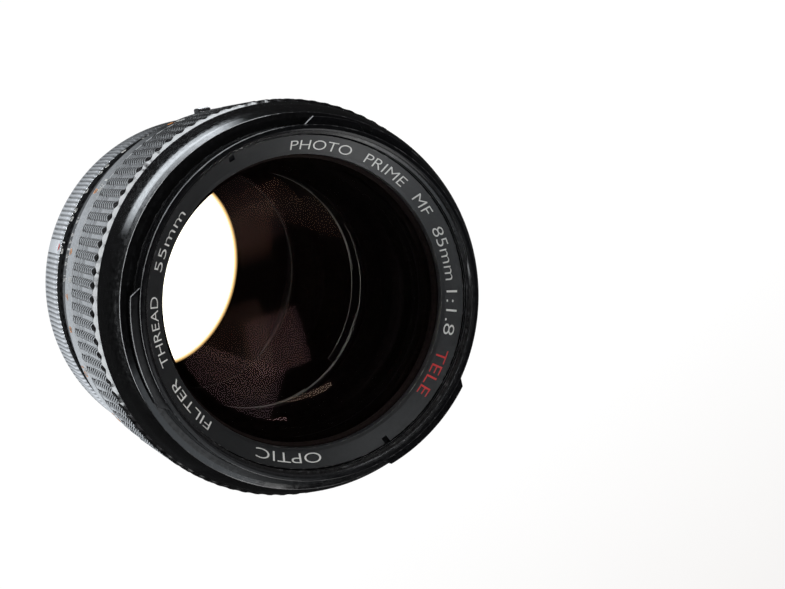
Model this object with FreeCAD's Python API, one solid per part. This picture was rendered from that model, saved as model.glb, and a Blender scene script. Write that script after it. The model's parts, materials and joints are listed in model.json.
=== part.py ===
"""Short telephoto prime lens with a rotating breech-lock mount, built as separate pieces.

Units are millimetres and degrees.  The optical axis is +Z and the front of the lens points up.
z = 0 is the camera mounting flange, and +Y points to the index mark.
The pieces stand where they are with the lens focused at about 1.8 m and the iris fully open.
"""
import FreeCAD, Part
import math
import os

V = FreeCAD.Vector
AXIS = V(0, 0, 1)

# ---------------------------------------------------------------- driving dimensions
FOCUS_EXTENSION = 4.4          # how far the optical unit stands forward of its infinity place
INDEX_ANGLE = 90.0             # polar angle of the index mark
RUN = 0.1                      # radial clearance of a turning or sliding fit
GAP = 0.3                      # gap between rings that turn separately

# front of the optical unit
RIM_Z = 61.5                   # front rim
RIM_R = 28.6
FILTER_R = 27.5                # wall of the M55 x 0.75 filter thread
FILTER_LENGTH = 2.2
FILTER_LEAD_IN = 0.4           # chamfer in front of the thread
RIM_CHAMFER = 0.25
LUG_R = 29.9                   # outside bayonet for the hood
LUG_Z = 59.6
LUG_HEIGHT = 1.2
LUG_SWEEP = 34.5               # at the outer edge
LUG_ROOT_SWEEP = 41.0          # at the rim, so the ends slant
LUG_CHAMFER = 0.35
LUG_ANGLES = (-3.0, 117.0, 237.0)
LUG_STOP_ANGLE = -3.5          # one lug has a stop notch in its middle
LUG_STOP_SWEEP = 5.0
NAME_RING_R = 27.15
NAME_RING_OUTER_EDGE = (27.0, 58.8)
NAME_RING_INNER_EDGE = (24.2, 56.55)
NAME_RING_BORE = 24.0
NAME_RING_Z = 55.0
RETAINER_BORE = 23.5           # screw ring that holds the front element
NOTCH_ANGLES = (43.0, 223.0)
NOTCH_WIDTH = 1.0

# barrel sections, from front to rear
SLEEVE_FACE_Z = 57.3           # bright-edged face behind the bayonet groove
SLEEVE_FACE_R = 29.8
SLEEVE_FRONT = (30.7, 57.0)
SLEEVE_SWELL = ((31.35, 55.7), (32.0, 53.9))     # where the taper steepens towards the front
SLEEVE_REAR = (32.8, 49.65)
SEAT_R = 28.7                  # where the sleeve sits on the front barrel
SLEEVE_SEAT_Z = 55.2           # rear end of that seat
PRESS = 0.02                   # radial clearance of pieces that are fixed together
COLLAR_R = 33.3                # bevelled collar in front of the grip
COLLAR_Z = 48.55
COLLAR_FACE_R = 32.65          # inner edge of the bevel
FOCUS_FRONT_Z = SLEEVE_REAR[1] - GAP
GRIP_SEAT_R = 32.3
GRIP_R = 33.35                 # crest of the ribs
GRIP_VALLEY_R = 32.85
GRIP_REAR_Z = 29.5
GRIP_FRONT_Z = 48.2
GRIP_RIBS = 92
GRIP_FLUTE_R = 1.45            # round flutes between the ribs
GRIP_FLUTE_ANGLE = 2.67        # polar angle of the first flute
SCALE_R = 33.2                 # distance scale band
SCALE_REAR_Z = 23.3
FIXED_R = 30.4                 # fixed tube that the rings turn on
FIXED_WALL = 0.8
FIXED_FRONT_Z = 36.0
INDEX_RING_R = 32.0
INDEX_RING_Z = (14.2, SCALE_REAR_Z - FOCUS_EXTENSION - GAP)
APERTURE_RING_Z = (8.1, 13.9)
BREECH_R = 32.4
BREECH_Z = (-2.8, 7.8)
BREECH_GRIP_FLUTES = 216
BREECH_FLUTE_R = 0.42
BREECH_FLUTE_DEPTH = 0.22
BREECH_FLUTE_REAR_Z = -1.6     # the flutes run from here to the front edge
BREECH_PLAIN_ANGLE = 2.5       # no flutes this near the red dot

# camera mount
FLANGE_R = 30.65
FLANGE_THICKNESS = 2.2
LAND_R = 28.2                  # the seating face is a raised land around the spigot
LAND_HEIGHT = 0.2
REAR_FLANGE_TOP_Z = 4.2        # the fixed tube has an inward flange on the plate
REAR_FLANGE_BORE = 24.6
SPIGOT_R = 23.9                # enters the 48 mm throat of the camera
SPIGOT_BORE = 22.9
SPIGOT_LENGTH = 3.0
CLAW_BORE = 28.4               # three claws that close behind the camera's own bayonet
CLAW_Z = (-2.6, -1.3)
CLAW_SWEEP = 54.0
GUARD_R = (18.9, 20.0)         # rear light guard
GUARD_REAR_Z = -4.5
GUARD_PLATE_Z = (0.9, 2.1)
MOUNT_SCREW_R = 26.1           # pitch radius of the four mount screws

# focusing mechanism
SLIDE_R = (26.6, 28.2)         # tube of the optical unit that slides
SLIDE_REAR_Z = 14.2
SLIDE_FRONT_Z = 53.0
FRONT_TAIL_Z = 50.0            # the front barrel reaches back over the sliding tube to here
HELICOID_R = (SLIDE_R[1] + RUN, FIXED_R - FIXED_WALL - RUN)
HELICOID_Z = (19.0, 46.0)
KEY_ANGLES = (60.0, 150.0)
KEY_WIDTH = 4.0
KEY_TOP_Z = 24.0
KEY_SLOT_TOP_Z = KEY_TOP_Z + FOCUS_EXTENSION + 2.6
KEY_FOOT_R = (25.2, 29.1)
KEY_FOOT_HEIGHT = 1.2

# optics: vertex z, radius (positive bulges to the front) of each surface from front to rear
LAST_VERTEX_Z = 4.7 + FOCUS_EXTENSION
SURFACE_RADIUS = (54.8, 122.8, 34.1, 300.0, 22.05, -22.38, -86.0, -31.3, 168.0, -93.8)
SURFACE_STEP = (4.5, 0.35, 10.5, 7.4, 15.0, 3.3, 4.3, 0.4, 3.55)
LENS_R = (24.4, 22.0, 22.0, 16.2, 16.2, 16.2)
FRONT_CELL_R = 26.5
REAR_BORE = 16.25              # bore of the rear cell
REAR_CELL_R = 17.8
REAR_CELL_Z = (9.2, 26.1)
REAR_CELL_FLANGE_Z = 24.0
REAR_CELL_SCREW_R = 20.6       # pitch radius of its three screws

# iris
BLADES = 8
BLADE_Z = 27.2
BLADE_PITCH = 0.2
BLADE_THICKNESS = 0.12
BLADE_BAND = (13.2, 20.6)
BLADE_SPAN = 115.0
PIVOT_CIRCLE = 21.6
PIVOT_PIN_R = 0.5
DRIVE_PIN_R = 0.45
DRIVE_PIN_ARM = 2.6            # pivot to drive pin
BLADE_TURN = 31.4              # each blade, from full aperture to f/16
DRIVE_TURN = 28.25             # the drive ring
APERTURE_TURN = 56.5           # the aperture ring
APERTURE_CLICKS = (0.0, 11.5, 20.5, 29.5, 38.5, 47.5, 56.5)
COVER_Z = (29.0, 29.6)
DRIVE_RING_Z = (25.9, 26.7)
DRIVE_RING_R = (18.0, 24.4)
HOUSING_R = (24.6, 26.4)
HOUSING_REAR_Z = 23.8
HOUSING_BASE_Z = (24.8, 25.5)
ARM_R = (23.4, 24.4)           # the axial arm that links the rear lever to the drive ring
ARM_ANGLE = 20.0
ARM_SWEEP = 4.8
ARM_TOP_Z = 21.0
LEVER_R = (20.9, 22.0)         # both levers stand on this circle at the rear
LEVER_TIP_Z = -3.9
LEVER_SWEEP = 6.4
STOP_DOWN_ANGLE = 290.0
SIGNAL_ANGLE = 205.0
BUTTON_ANGLE = 22.0
BUTTON_SIZE = (2.4, 3.0)       # across and along the barrel
BUTTON_R = (31.6, 33.9)
BUTTON_Z = 11.0
CLICK_ANGLE = 330.0
CLICK_Z = 11.0
BALL_R = 0.7


# ---------------------------------------------------------------- geometry helpers
def turned(outline):
    """Solid of revolution about the optical axis from (radius, z) corners."""
    corners = [V(radius, 0, z) for radius, z in outline]
    face = Part.Face(Part.makePolygon(corners + corners[:1]))
    return face.revolve(V(0, 0, 0), AXIS, 360)


def tube(inner, outer, z_low, z_high):
    return turned([(inner, z_low), (outer, z_low), (outer, z_high), (inner, z_high)])


def sector(inner, outer, z_low, z_high, centre_angle, sweep):
    """Part of a ring, centred on an angle."""
    height = z_high - z_low
    wedge = Part.makeCylinder(outer, height, V(0, 0, z_low), AXIS, sweep)
    wedge = wedge.cut(Part.makeCylinder(inner, height, V(0, 0, z_low)))
    wedge.rotate(V(0, 0, 0), AXIS, centre_angle - sweep / 2)
    return wedge


def polar(radius, angle, z=0.0):
    turn = math.radians(angle)
    return V(radius * math.cos(turn), radius * math.sin(turn), z)


def radial_pin(pin_radius, inner, outer, angle, z):
    """Cylinder that points straight out from the optical axis."""
    return Part.makeCylinder(pin_radius, outer - inner, polar(inner, angle, z), polar(1.0, angle))


def radial_block(width, height, inner, outer, angle, z):
    """Block centred on z that points straight out from the optical axis."""
    block = Part.makeBox(outer - inner, width, height, V(inner, -width / 2, z - height / 2))
    block.rotate(V(0, 0, 0), AXIS, angle)
    return block


def cut_all(shape, tools):
    return shape.cut(Part.makeCompound(tools))


def fuse_all(shapes):
    return shapes[0].multiFuse(shapes[1:]).removeSplitter()


def save(name, *shapes):
    shape = shapes[0] if len(shapes) == 1 else Part.makeCompound(list(shapes))
    shape.exportStep("parts/" + name + ".step")


# ---------------------------------------------------------------- front of the optical unit
def front_barrel():
    """Filter ring with the hood bayonet, in one piece with the front of the barrel."""
    chamfer_z = RIM_Z - FILTER_LEAD_IN
    thread_z = chamfer_z - FILTER_LENGTH
    ring_seat = NAME_RING_R + 0.05
    tail_bore = SLIDE_R[0] + 0.8
    body = turned([
        (SEAT_R, FRONT_TAIL_Z), (SEAT_R, SLEEVE_FACE_Z), (RIM_R, SLEEVE_FACE_Z),
        (RIM_R, RIM_Z - RIM_CHAMFER), (RIM_R - RIM_CHAMFER, RIM_Z), (FILTER_R + 0.3, RIM_Z),
        (FILTER_R, chamfer_z), (FILTER_R, thread_z), (ring_seat, thread_z),
        (ring_seat, NAME_RING_Z), (FRONT_CELL_R + 0.05, NAME_RING_Z),
        (FRONT_CELL_R + 0.05, SLIDE_FRONT_Z), (tail_bore, SLIDE_FRONT_Z),
        (tail_bore, FRONT_TAIL_Z)])
    top = LUG_Z + LUG_HEIGHT
    chamfer = turned([(LUG_R - LUG_CHAMFER, top), (LUG_R + 1, top), (LUG_R + 1, LUG_Z),
                      (LUG_R, top - LUG_CHAMFER)])
    stop = sector(RIM_R + 0.1, LUG_R + 1, LUG_Z - 1, top + 1, LUG_STOP_ANGLE, LUG_STOP_SWEEP)
    return fuse_all([body] + [cut_all(hood_lug(angle), [chamfer, stop]) for angle in LUG_ANGLES])


def hood_lug(angle):
    """Flat lug on the rim with slanted ends."""
    root = RIM_R - 0.1
    half_root = LUG_ROOT_SWEEP / 2
    half_tip = LUG_SWEEP / 2
    outer = Part.Arc(polar(LUG_R, -half_tip, LUG_Z), polar(LUG_R, 0, LUG_Z),
                     polar(LUG_R, half_tip, LUG_Z)).toShape()
    inner = Part.Arc(polar(root, half_root, LUG_Z), polar(root, 0, LUG_Z),
                     polar(root, -half_root, LUG_Z)).toShape()
    sides = [Part.makeLine(polar(LUG_R, half_tip, LUG_Z), polar(root, half_root, LUG_Z)),
             Part.makeLine(polar(root, -half_root, LUG_Z), polar(LUG_R, -half_tip, LUG_Z))]
    outline = Part.Wire([outer, sides[0], inner, sides[1]])
    lug = Part.Face(outline).extrude(V(0, 0, LUG_HEIGHT))
    lug.rotate(V(0, 0, 0), AXIS, angle)
    return lug


def front_sleeve():
    """Smooth tapered sleeve between the bayonet groove and the focusing ring."""
    seat = SEAT_R + PRESS
    return turned([
        (seat, SLEEVE_FACE_Z), (SLEEVE_FACE_R, SLEEVE_FACE_Z), SLEEVE_FRONT, *SLEEVE_SWELL, SLEEVE_REAR,
        (SLEEVE_REAR[0] - 1.6, SLEEVE_REAR[1]), (seat + 1.2, SLEEVE_SEAT_Z), (seat, SLEEVE_SEAT_Z)])


def name_ring():
    """Conical ring around the front glass, with two spanner notches."""
    ring = turned([
        (NAME_RING_BORE, NAME_RING_Z), (NAME_RING_R, NAME_RING_Z), (NAME_RING_R, 58.4),
        NAME_RING_OUTER_EDGE, NAME_RING_INNER_EDGE, (NAME_RING_BORE, 56.2)])
    notches = [radial_block(NOTCH_WIDTH, 1.8, 26.1, 28.0, angle, 58.6) for angle in NOTCH_ANGLES]
    return cut_all(ring, notches)


def sliding_barrel():
    """Inner helicoid tube that carries the glass, with two slots for the guide keys."""
    neck = SLIDE_R[0] + 0.75
    shelf_top = HOUSING_REAR_Z
    shelf_low = shelf_top - 0.6
    shelf_bore = SLIDE_R[0] - 1.0
    body = turned([
        (SLIDE_R[0], SLIDE_REAR_Z), (SLIDE_R[1], SLIDE_REAR_Z), (SLIDE_R[1], FRONT_TAIL_Z),
        (neck, FRONT_TAIL_Z), (neck, SLIDE_FRONT_Z), (SLIDE_R[0], SLIDE_FRONT_Z),
        (SLIDE_R[0], shelf_top), (shelf_bore, shelf_top), (shelf_bore, shelf_low),
        (SLIDE_R[0], shelf_low)])
    slot_height = 2 * (KEY_SLOT_TOP_Z - SLIDE_REAR_Z)
    slots = [radial_block(KEY_WIDTH + RUN, slot_height, SLIDE_R[0] - 0.1, SLIDE_R[1] + 0.5,
                          angle, SLIDE_REAR_Z) for angle in KEY_ANGLES]
    return cut_all(body, slots)


# ---------------------------------------------------------------- glass and its cells
def surface_z():
    """Vertex z of each glass surface, counted back from the last one."""
    places = [LAST_VERTEX_Z + sum(SURFACE_STEP)]
    for step in SURFACE_STEP:
        places.append(places[-1] - step)
    return places


def on_surface(index, radius):
    """Point of a glass surface at a distance from the axis."""
    curve = SURFACE_RADIUS[index]
    sag = abs(curve) - math.sqrt(curve * curve - radius * radius)
    height = surface_z()[index] - math.copysign(sag, curve)
    return V(radius, 0, height)


def surface_arc(index, reach):
    return Part.Arc(on_surface(index, 0.0), on_surface(index, reach / 2), on_surface(index, reach))


def glass(front, rear, radius, front_reach=None, rear_reach=None, corner=()):
    """Lens element between two surfaces.  A surface that stops short of the rim ends in a flat."""
    front_reach = front_reach or radius
    rear_reach = rear_reach or radius
    outline = [on_surface(front, front_reach), V(radius, 0, on_surface(front, front_reach).z)]
    outline += [V(corner_radius, 0, z) for corner_radius, z in corner]
    outline += [V(radius, 0, on_surface(rear, rear_reach).z)] if not corner else []
    outline.append(on_surface(rear, rear_reach))
    edges = [surface_arc(front, front_reach).toShape(), surface_arc(rear, rear_reach).toShape()]
    edges.append(Part.makeLine(on_surface(front, 0.0), on_surface(rear, 0.0)))
    for start, end in zip(outline, outline[1:]):
        if start.distanceToPoint(end) > 1e-6:
            edges.append(Part.makeLine(start, end))
    wire = Part.Wire(Part.__sortEdges__(edges))
    return Part.Face(wire).revolve(V(0, 0, 0), AXIS, 360)


def front_cell():
    """Tube that holds the three front elements."""
    front_seat = LENS_R[0] + 0.05
    second_seat = LENS_R[1] + 0.05
    shoulder_z = 45.6
    front_z = 54.6
    base_z = 30.3
    return turned([
        (HOUSING_R[0], COVER_Z[1]), (FRONT_CELL_R, COVER_Z[1]), (FRONT_CELL_R, front_z),
        (front_seat, front_z), (front_seat, shoulder_z), (second_seat, shoulder_z),
        (second_seat, 33.75), (17.0, 30.95), (17.0, base_z), (HOUSING_R[0], base_z)])


def front_retainer():
    """Screw ring with a bevelled bore that holds the front element in its cell."""
    outer = LENS_R[0]
    return turned([(RETAINER_BORE, 53.2), (outer, 52.8), (outer, 54.4), (RETAINER_BORE + 0.4, 54.4),
                   (RETAINER_BORE, 54.0)])


def rear_cell():
    """Tube that holds the three rear elements, with the flange it is screwed on by."""
    low, high = REAR_CELL_Z
    flange_r = REAR_CELL_SCREW_R + 1.8
    return turned([
        (REAR_BORE, low), (REAR_CELL_R, low), (REAR_CELL_R, REAR_CELL_FLANGE_Z),
        (flange_r, REAR_CELL_FLANGE_Z), (flange_r, HOUSING_BASE_Z[0]),
        (REAR_CELL_R, HOUSING_BASE_Z[0]), (REAR_CELL_R, high), (REAR_BORE, high)])


def rear_cell_screws():
    head_z = REAR_CELL_FLANGE_Z - 0.6
    return [Part.makeCylinder(0.6, HOUSING_BASE_Z[1] - head_z, polar(REAR_CELL_SCREW_R, angle, head_z))
            for angle in (80, 200, 320)]


# ---------------------------------------------------------------- iris
def drive_pin_place(turn_fraction):
    """Where a blade's drive pin is, for a blade whose pivot is at angle 0."""
    turn = math.radians(BLADE_TURN * turn_fraction)
    return V(PIVOT_CIRCLE + DRIVE_PIN_ARM * math.sin(turn), DRIVE_PIN_ARM * math.cos(turn), 0)


def stadium(start, end, radius, z_low, z_high):
    """Rounded bar between two points of a plane."""
    height = z_high - z_low
    along = end.sub(start)
    across = V(-along.y, along.x, 0).normalize().multiply(radius)
    corners = [start.add(across), end.add(across), end.sub(across), start.sub(across)]
    corners = [V(point.x, point.y, z_low) for point in corners]
    bar = Part.Face(Part.makePolygon(corners + corners[:1])).extrude(V(0, 0, height))
    ends = [Part.makeCylinder(radius, height, V(point.x, point.y, z_low)) for point in (start, end)]
    return bar.multiFuse(ends)


def iris_blade(number):
    """Crescent blade with its pivot pin to the front and its drive pin to the rear."""
    z_low = BLADE_Z + BLADE_PITCH * number - BLADE_THICKNESS / 2
    z_high = z_low + BLADE_THICKNESS
    band = sector(BLADE_BAND[0], BLADE_BAND[1], z_low, z_high, -BLADE_SPAN / 2, BLADE_SPAN)
    pivot = V(PIVOT_CIRCLE, 0, 0)
    ear = stadium(pivot, drive_pin_place(0.0), 0.9, z_low, z_high)
    link = stadium(V(BLADE_BAND[1] - 1.4, -1.2, 0), pivot, 1.0, z_low, z_high)
    pivot_pin = Part.makeCylinder(PIVOT_PIN_R, COVER_Z[1] - 0.1 - z_low, V(PIVOT_CIRCLE, 0, z_low))
    drive_place = drive_pin_place(0.0)
    drive_low = DRIVE_RING_Z[0] + 0.1
    drive_pin = Part.makeCylinder(DRIVE_PIN_R, z_high - drive_low,
                                  V(drive_place.x, drive_place.y, drive_low))
    blade = fuse_all([band, ear, link, pivot_pin, drive_pin])
    blade.rotate(V(0, 0, 0), AXIS, 360.0 / BLADES * number)
    return blade


def iris_cover():
    """Front plate of the iris: the blades' pivot pins turn in its holes."""
    plate = tube(BLADE_BAND[0], HOUSING_R[1], *COVER_Z)
    holes = [Part.makeCylinder(PIVOT_PIN_R + 0.06, 2, polar(PIVOT_CIRCLE, 360 / BLADES * n, 28.5))
             for n in range(BLADES)]
    return cut_all(plate, holes)


def drive_slot():
    """Cam slot that carries one drive pin while the drive ring turns under it."""
    steps = 6
    places = []
    for step in range(steps + 1):
        place = drive_pin_place(step / steps)
        turn = FreeCAD.Rotation(AXIS, -DRIVE_TURN * step / steps)
        places.append(turn.multVec(place))
    bars = [stadium(start, end, DRIVE_PIN_R + RUN, DRIVE_RING_Z[0] - 1, DRIVE_RING_Z[1] + 1)
            for start, end in zip(places, places[1:])]
    return fuse_all(bars)


def iris_drive_ring():
    """Cam ring that moves all the blades, with two prongs that hold the rear lever's arm."""
    ring = tube(DRIVE_RING_R[0], DRIVE_RING_R[1], *DRIVE_RING_Z)
    slot = drive_slot()
    slots = []
    for number in range(BLADES):
        slots.append(slot.copy())
        slots[-1].rotate(V(0, 0, 0), AXIS, 360.0 / BLADES * number)
    ring = cut_all(ring, slots)
    prong_offset = ARM_SWEEP / 2 + 0.25 + 1.45
    prongs = [sector(ARM_R[0], ARM_R[1], 12.0, DRIVE_RING_Z[0], ARM_ANGLE + side * prong_offset, 2.9)
              for side in (-1, 1)]
    return fuse_all([ring] + prongs)


def iris_housing():
    """Cup that holds the iris, with a window for the drive ring's prongs."""
    bore = REAR_CELL_R + 0.05
    cup = turned([
        (bore, HOUSING_BASE_Z[0]), (HOUSING_R[0], HOUSING_BASE_Z[0]), (HOUSING_R[0], HOUSING_REAR_Z),
        (HOUSING_R[1], HOUSING_REAR_Z), (HOUSING_R[1], COVER_Z[0]), (HOUSING_R[0], COVER_Z[0]),
        (HOUSING_R[0], HOUSING_BASE_Z[1]), (bore, HOUSING_BASE_Z[1])])
    window = sector(22.8, HOUSING_R[0] - 0.02, 24.0, 26.5, ARM_ANGLE + DRIVE_TURN / 2, 46.0)
    return cut_all(cup, [window] + rear_cell_screws())


def stop_down_ring():
    """Ring behind the glass with the rear lever and the forward arm that turns the iris."""
    ring = tube(22.6, 24.4, 2.9, 3.7)
    foot = sector(LEVER_R[0], 22.8, 2.9, 3.7, STOP_DOWN_ANGLE, LEVER_SWEEP)
    lever = sector(LEVER_R[0], LEVER_R[1], LEVER_TIP_Z, 3.7, STOP_DOWN_ANGLE, LEVER_SWEEP)
    arm = sector(ARM_R[0], ARM_R[1], 3.5, ARM_TOP_Z, ARM_ANGLE, ARM_SWEEP)
    return fuse_all([ring, foot, lever, arm])


# ---------------------------------------------------------------- aperture ring
def aperture_ring():
    """Ring with inner click notches and the pocket of the lock button."""
    low, high = APERTURE_RING_Z
    ring = turned([
        (FIXED_R + RUN, low), (INDEX_RING_R - 0.5, low), (INDEX_RING_R, low + 0.5),
        (INDEX_RING_R, high - 0.2), (INDEX_RING_R - 0.2, high), (FIXED_R + RUN, high)])
    notches = [radial_pin(0.75, FIXED_R - 0.3, FIXED_R + 0.35, CLICK_ANGLE - click, CLICK_Z)
               for click in APERTURE_CLICKS]
    pocket = radial_block(BUTTON_SIZE[0] + 0.2, BUTTON_SIZE[1] + 0.2, BUTTON_R[0] - 0.65,
                          INDEX_RING_R + 1, BUTTON_ANGLE, BUTTON_Z)
    return cut_all(ring, notches + [pocket])


def signal_lever():
    """Lever that tells the camera the chosen aperture: it turns with the aperture ring."""
    arm = sector(LEVER_R[0], FIXED_R + RUN, 8.3, 9.3, SIGNAL_ANGLE, 5.0)
    lever = sector(LEVER_R[0], LEVER_R[1], LEVER_TIP_Z, 9.3, SIGNAL_ANGLE, LEVER_SWEEP)
    return fuse_all([arm, lever])


def lock_button():
    """Small button that frees the aperture ring's automatic setting."""
    block = radial_block(BUTTON_SIZE[0], BUTTON_SIZE[1], BUTTON_R[0], BUTTON_R[1],
                         BUTTON_ANGLE, BUTTON_Z)
    top = [edge for edge in block.Edges
           if all(math.hypot(v.Point.x, v.Point.y) > BUTTON_R[1] - 0.2 for v in edge.Vertexes)]
    return block.makeFillet(0.3, top)


# ---------------------------------------------------------------- focusing ring
def focus_ring():
    """Metal ring with the distance scale band and the seat of the rubber grip."""
    return turned([
        (FIXED_R + 0.35, SCALE_REAR_Z), (SCALE_R - 0.3, SCALE_REAR_Z), (SCALE_R, SCALE_REAR_Z + 0.3),
        (SCALE_R, GRIP_REAR_Z - 0.15), (SCALE_R - 0.15, GRIP_REAR_Z), (GRIP_SEAT_R, GRIP_REAR_Z),
        (GRIP_SEAT_R, GRIP_FRONT_Z), (COLLAR_R, GRIP_FRONT_Z), (COLLAR_R, COLLAR_Z),
        (COLLAR_FACE_R, FOCUS_FRONT_Z), (31.6, FOCUS_FRONT_Z), (31.6, 44.0),
        (FIXED_R + 0.35, 44.0)])


def focus_screw_pins(radius):
    return [radial_pin(radius, 29.8, GRIP_SEAT_R - 0.1, angle, 45.0) for angle in (30, 150, 270)]


def helicoid_sleeve():
    """Threaded sleeve that turns with the focusing ring and drives the optical unit."""
    inner, outer = HELICOID_R
    low, high = HELICOID_Z
    body = turned([(inner, low), (outer, low), (outer, high - 2.0), (31.55, high - 2.0),
                   (31.55, high), (inner, high)])
    return cut_all(body, focus_screw_pins(0.75))


def focus_grip():
    """Rubber grip with ribs along the barrel."""
    body = turned([
        (GRIP_SEAT_R, GRIP_REAR_Z), (GRIP_R - 0.2, GRIP_REAR_Z), (GRIP_R, GRIP_REAR_Z + 0.2),
        (GRIP_R, GRIP_FRONT_Z - 0.2), (GRIP_R - 0.2, GRIP_FRONT_Z), (GRIP_SEAT_R, GRIP_FRONT_Z)])
    pitch = 360.0 / GRIP_RIBS
    height = GRIP_FRONT_Z - GRIP_REAR_Z
    flutes = [Part.makeCylinder(GRIP_FLUTE_R, height + 2,
                                polar(GRIP_VALLEY_R + GRIP_FLUTE_R, GRIP_FLUTE_ANGLE + pitch * n,
                                      GRIP_REAR_Z - 1))
              for n in range(GRIP_RIBS)]
    return cut_all(body, flutes)


# ---------------------------------------------------------------- fixed barrel and mount
def mount_screw_places():
    return [polar(MOUNT_SCREW_R, 45.0 + 90.0 * n) for n in range(4)]


def mount_plate():
    """Rear plate: a raised land on its rear face meets the camera."""
    plate = turned([
        (SPIGOT_BORE, -SPIGOT_LENGTH), (SPIGOT_R, -SPIGOT_LENGTH), (SPIGOT_R, 0), (LAND_R, 0),
        (LAND_R, LAND_HEIGHT), (FLANGE_R, LAND_HEIGHT), (FLANGE_R, FLANGE_THICKNESS),
        (SPIGOT_BORE, FLANGE_THICKNESS)])
    holes = []
    for place in mount_screw_places():
        holes.append(Part.makeCylinder(1.05, FLANGE_THICKNESS + 1, place))
        holes.append(Part.makeCone(2.0, 1.0, 1.0, place))
    return cut_all(plate, holes)


def mount_screws():
    """Countersunk screws with a straight slot."""
    screws = []
    for place in mount_screw_places():
        head = Part.makeCone(1.9, 1.0, 1.0, place)
        shank = Part.makeCylinder(1.0, 3.9, place.add(V(0, 0, 0.2)))
        slot = Part.makeBox(5.0, 0.4, 0.8, place.add(V(-2.5, -0.2, -0.4)))
        screws.append(fuse_all([head, shank]).cut(slot))
    return screws


def fixed_barrel():
    """Tube and rear flange that everything else is carried by."""
    body = turned([
        (REAR_FLANGE_BORE, FLANGE_THICKNESS), (FIXED_R, FLANGE_THICKNESS),
        (FIXED_R, FIXED_FRONT_Z), (FIXED_R - FIXED_WALL, FIXED_FRONT_Z),
        (FIXED_R - FIXED_WALL, REAR_FLANGE_TOP_Z), (REAR_FLANGE_BORE, REAR_FLANGE_TOP_Z)])
    window = sector(FIXED_R - 2, FIXED_R + 1, 8.15, 9.5, SIGNAL_ANGLE + APERTURE_TURN / 2, 66.0)
    ball_hole = radial_pin(BALL_R + 0.08, 28.0, FIXED_R + 1, CLICK_ANGLE, CLICK_Z)
    spring_hole = radial_pin(0.62, 28.0, FIXED_R + 1, CLICK_ANGLE - 12, CLICK_Z)
    screw_holes = [Part.makeCylinder(1.02, 3, place.add(V(0, 0, 2.0)))
                   for place in mount_screw_places()]
    return cut_all(body, [window, ball_hole, spring_hole] + screw_holes)


def guide_key(angle):
    """Bar that stops the optical unit turning, on a foot screwed to the rear flange."""
    height = KEY_TOP_Z - REAR_FLANGE_TOP_Z
    bar = radial_block(KEY_WIDTH, height, SLIDE_R[0] + 0.2, SLIDE_R[1] - 0.1, angle,
                       REAR_FLANGE_TOP_Z + height / 2)
    foot = radial_block(KEY_WIDTH, KEY_FOOT_HEIGHT, KEY_FOOT_R[0], KEY_FOOT_R[1], angle,
                        REAR_FLANGE_TOP_Z + KEY_FOOT_HEIGHT / 2)
    return fuse_all([bar, foot])


def index_ring():
    """Fixed ring that carries the index and depth-of-field marks."""
    low, high = INDEX_RING_Z
    ring = turned([
        (FIXED_R, low), (INDEX_RING_R - 0.2, low), (INDEX_RING_R, low + 0.2),
        (INDEX_RING_R, high - 0.5), (INDEX_RING_R - 0.5, high), (FIXED_R, high)])
    return cut_all(ring, index_ring_screws(0.85))


def index_ring_screws(radius):
    return [radial_pin(radius, FIXED_R, INDEX_RING_R - 0.25, angle, 16.4) for angle in (40, 160, 280)]


def rear_guard():
    """Light guard around the rear glass, on a plate with windows for the two levers."""
    guard = turned([
        (GUARD_R[0], GUARD_REAR_Z), (GUARD_R[1], GUARD_REAR_Z), (GUARD_R[1], GUARD_PLATE_Z[0]),
        (SPIGOT_BORE - PRESS, GUARD_PLATE_Z[0]), (SPIGOT_BORE - PRESS, GUARD_PLATE_Z[1]),
        (GUARD_R[0], GUARD_PLATE_Z[1])])
    inner = LEVER_R[0] - 0.5
    outer = LEVER_R[1] + 0.5
    stop_window = sector(inner, outer, 0, 3, STOP_DOWN_ANGLE + DRIVE_TURN / 2, DRIVE_TURN + 10)
    signal_window = sector(inner, outer, 0, 3, SIGNAL_ANGLE + APERTURE_TURN / 2,
                           APERTURE_TURN + 10)
    return cut_all(guard, [stop_window, signal_window])


def click_spring():
    """Leaf that presses the click ball outwards."""
    leaf = sector(28.75, 28.95, 9.7, 12.3, CLICK_ANGLE - 5, 20.0)
    pad = sector(28.95, FIXED_R - FIXED_WALL, 9.7, 12.3, CLICK_ANGLE - 12, 5.0)
    return fuse_all([leaf, pad]).cut(radial_pin(0.62, 28.0, 31.0, CLICK_ANGLE - 12, CLICK_Z))


# ---------------------------------------------------------------- breech ring
def breech_ring():
    """Ring that the user turns to lock the lens on the camera, with a fine fluted grip."""
    low, high = BREECH_Z
    body = turned([
        (FLANGE_R + RUN, low), (BREECH_R - 0.6, low), (BREECH_R, low + 0.6),
        (BREECH_R, high - 0.15), (BREECH_R - 0.15, high), (FIXED_R + RUN, high),
        (FIXED_R + RUN, FLANGE_THICKNESS + GAP), (FLANGE_R + RUN, FLANGE_THICKNESS + GAP)])
    angles = [360.0 / BREECH_GRIP_FLUTES * n for n in range(BREECH_GRIP_FLUTES)]
    axis_r = BREECH_R - BREECH_FLUTE_DEPTH + BREECH_FLUTE_R
    flutes = [Part.makeCylinder(BREECH_FLUTE_R, high - BREECH_FLUTE_REAR_Z + 1,
                                polar(axis_r, angle, BREECH_FLUTE_REAR_Z))
              for angle in angles if abs(angle - INDEX_ANGLE) > BREECH_PLAIN_ANGLE]
    dot = radial_pin(0.95, BREECH_R - 0.9, BREECH_R + 1, INDEX_ANGLE, high - 1.6)
    return cut_all(body, flutes + [dot])


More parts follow.
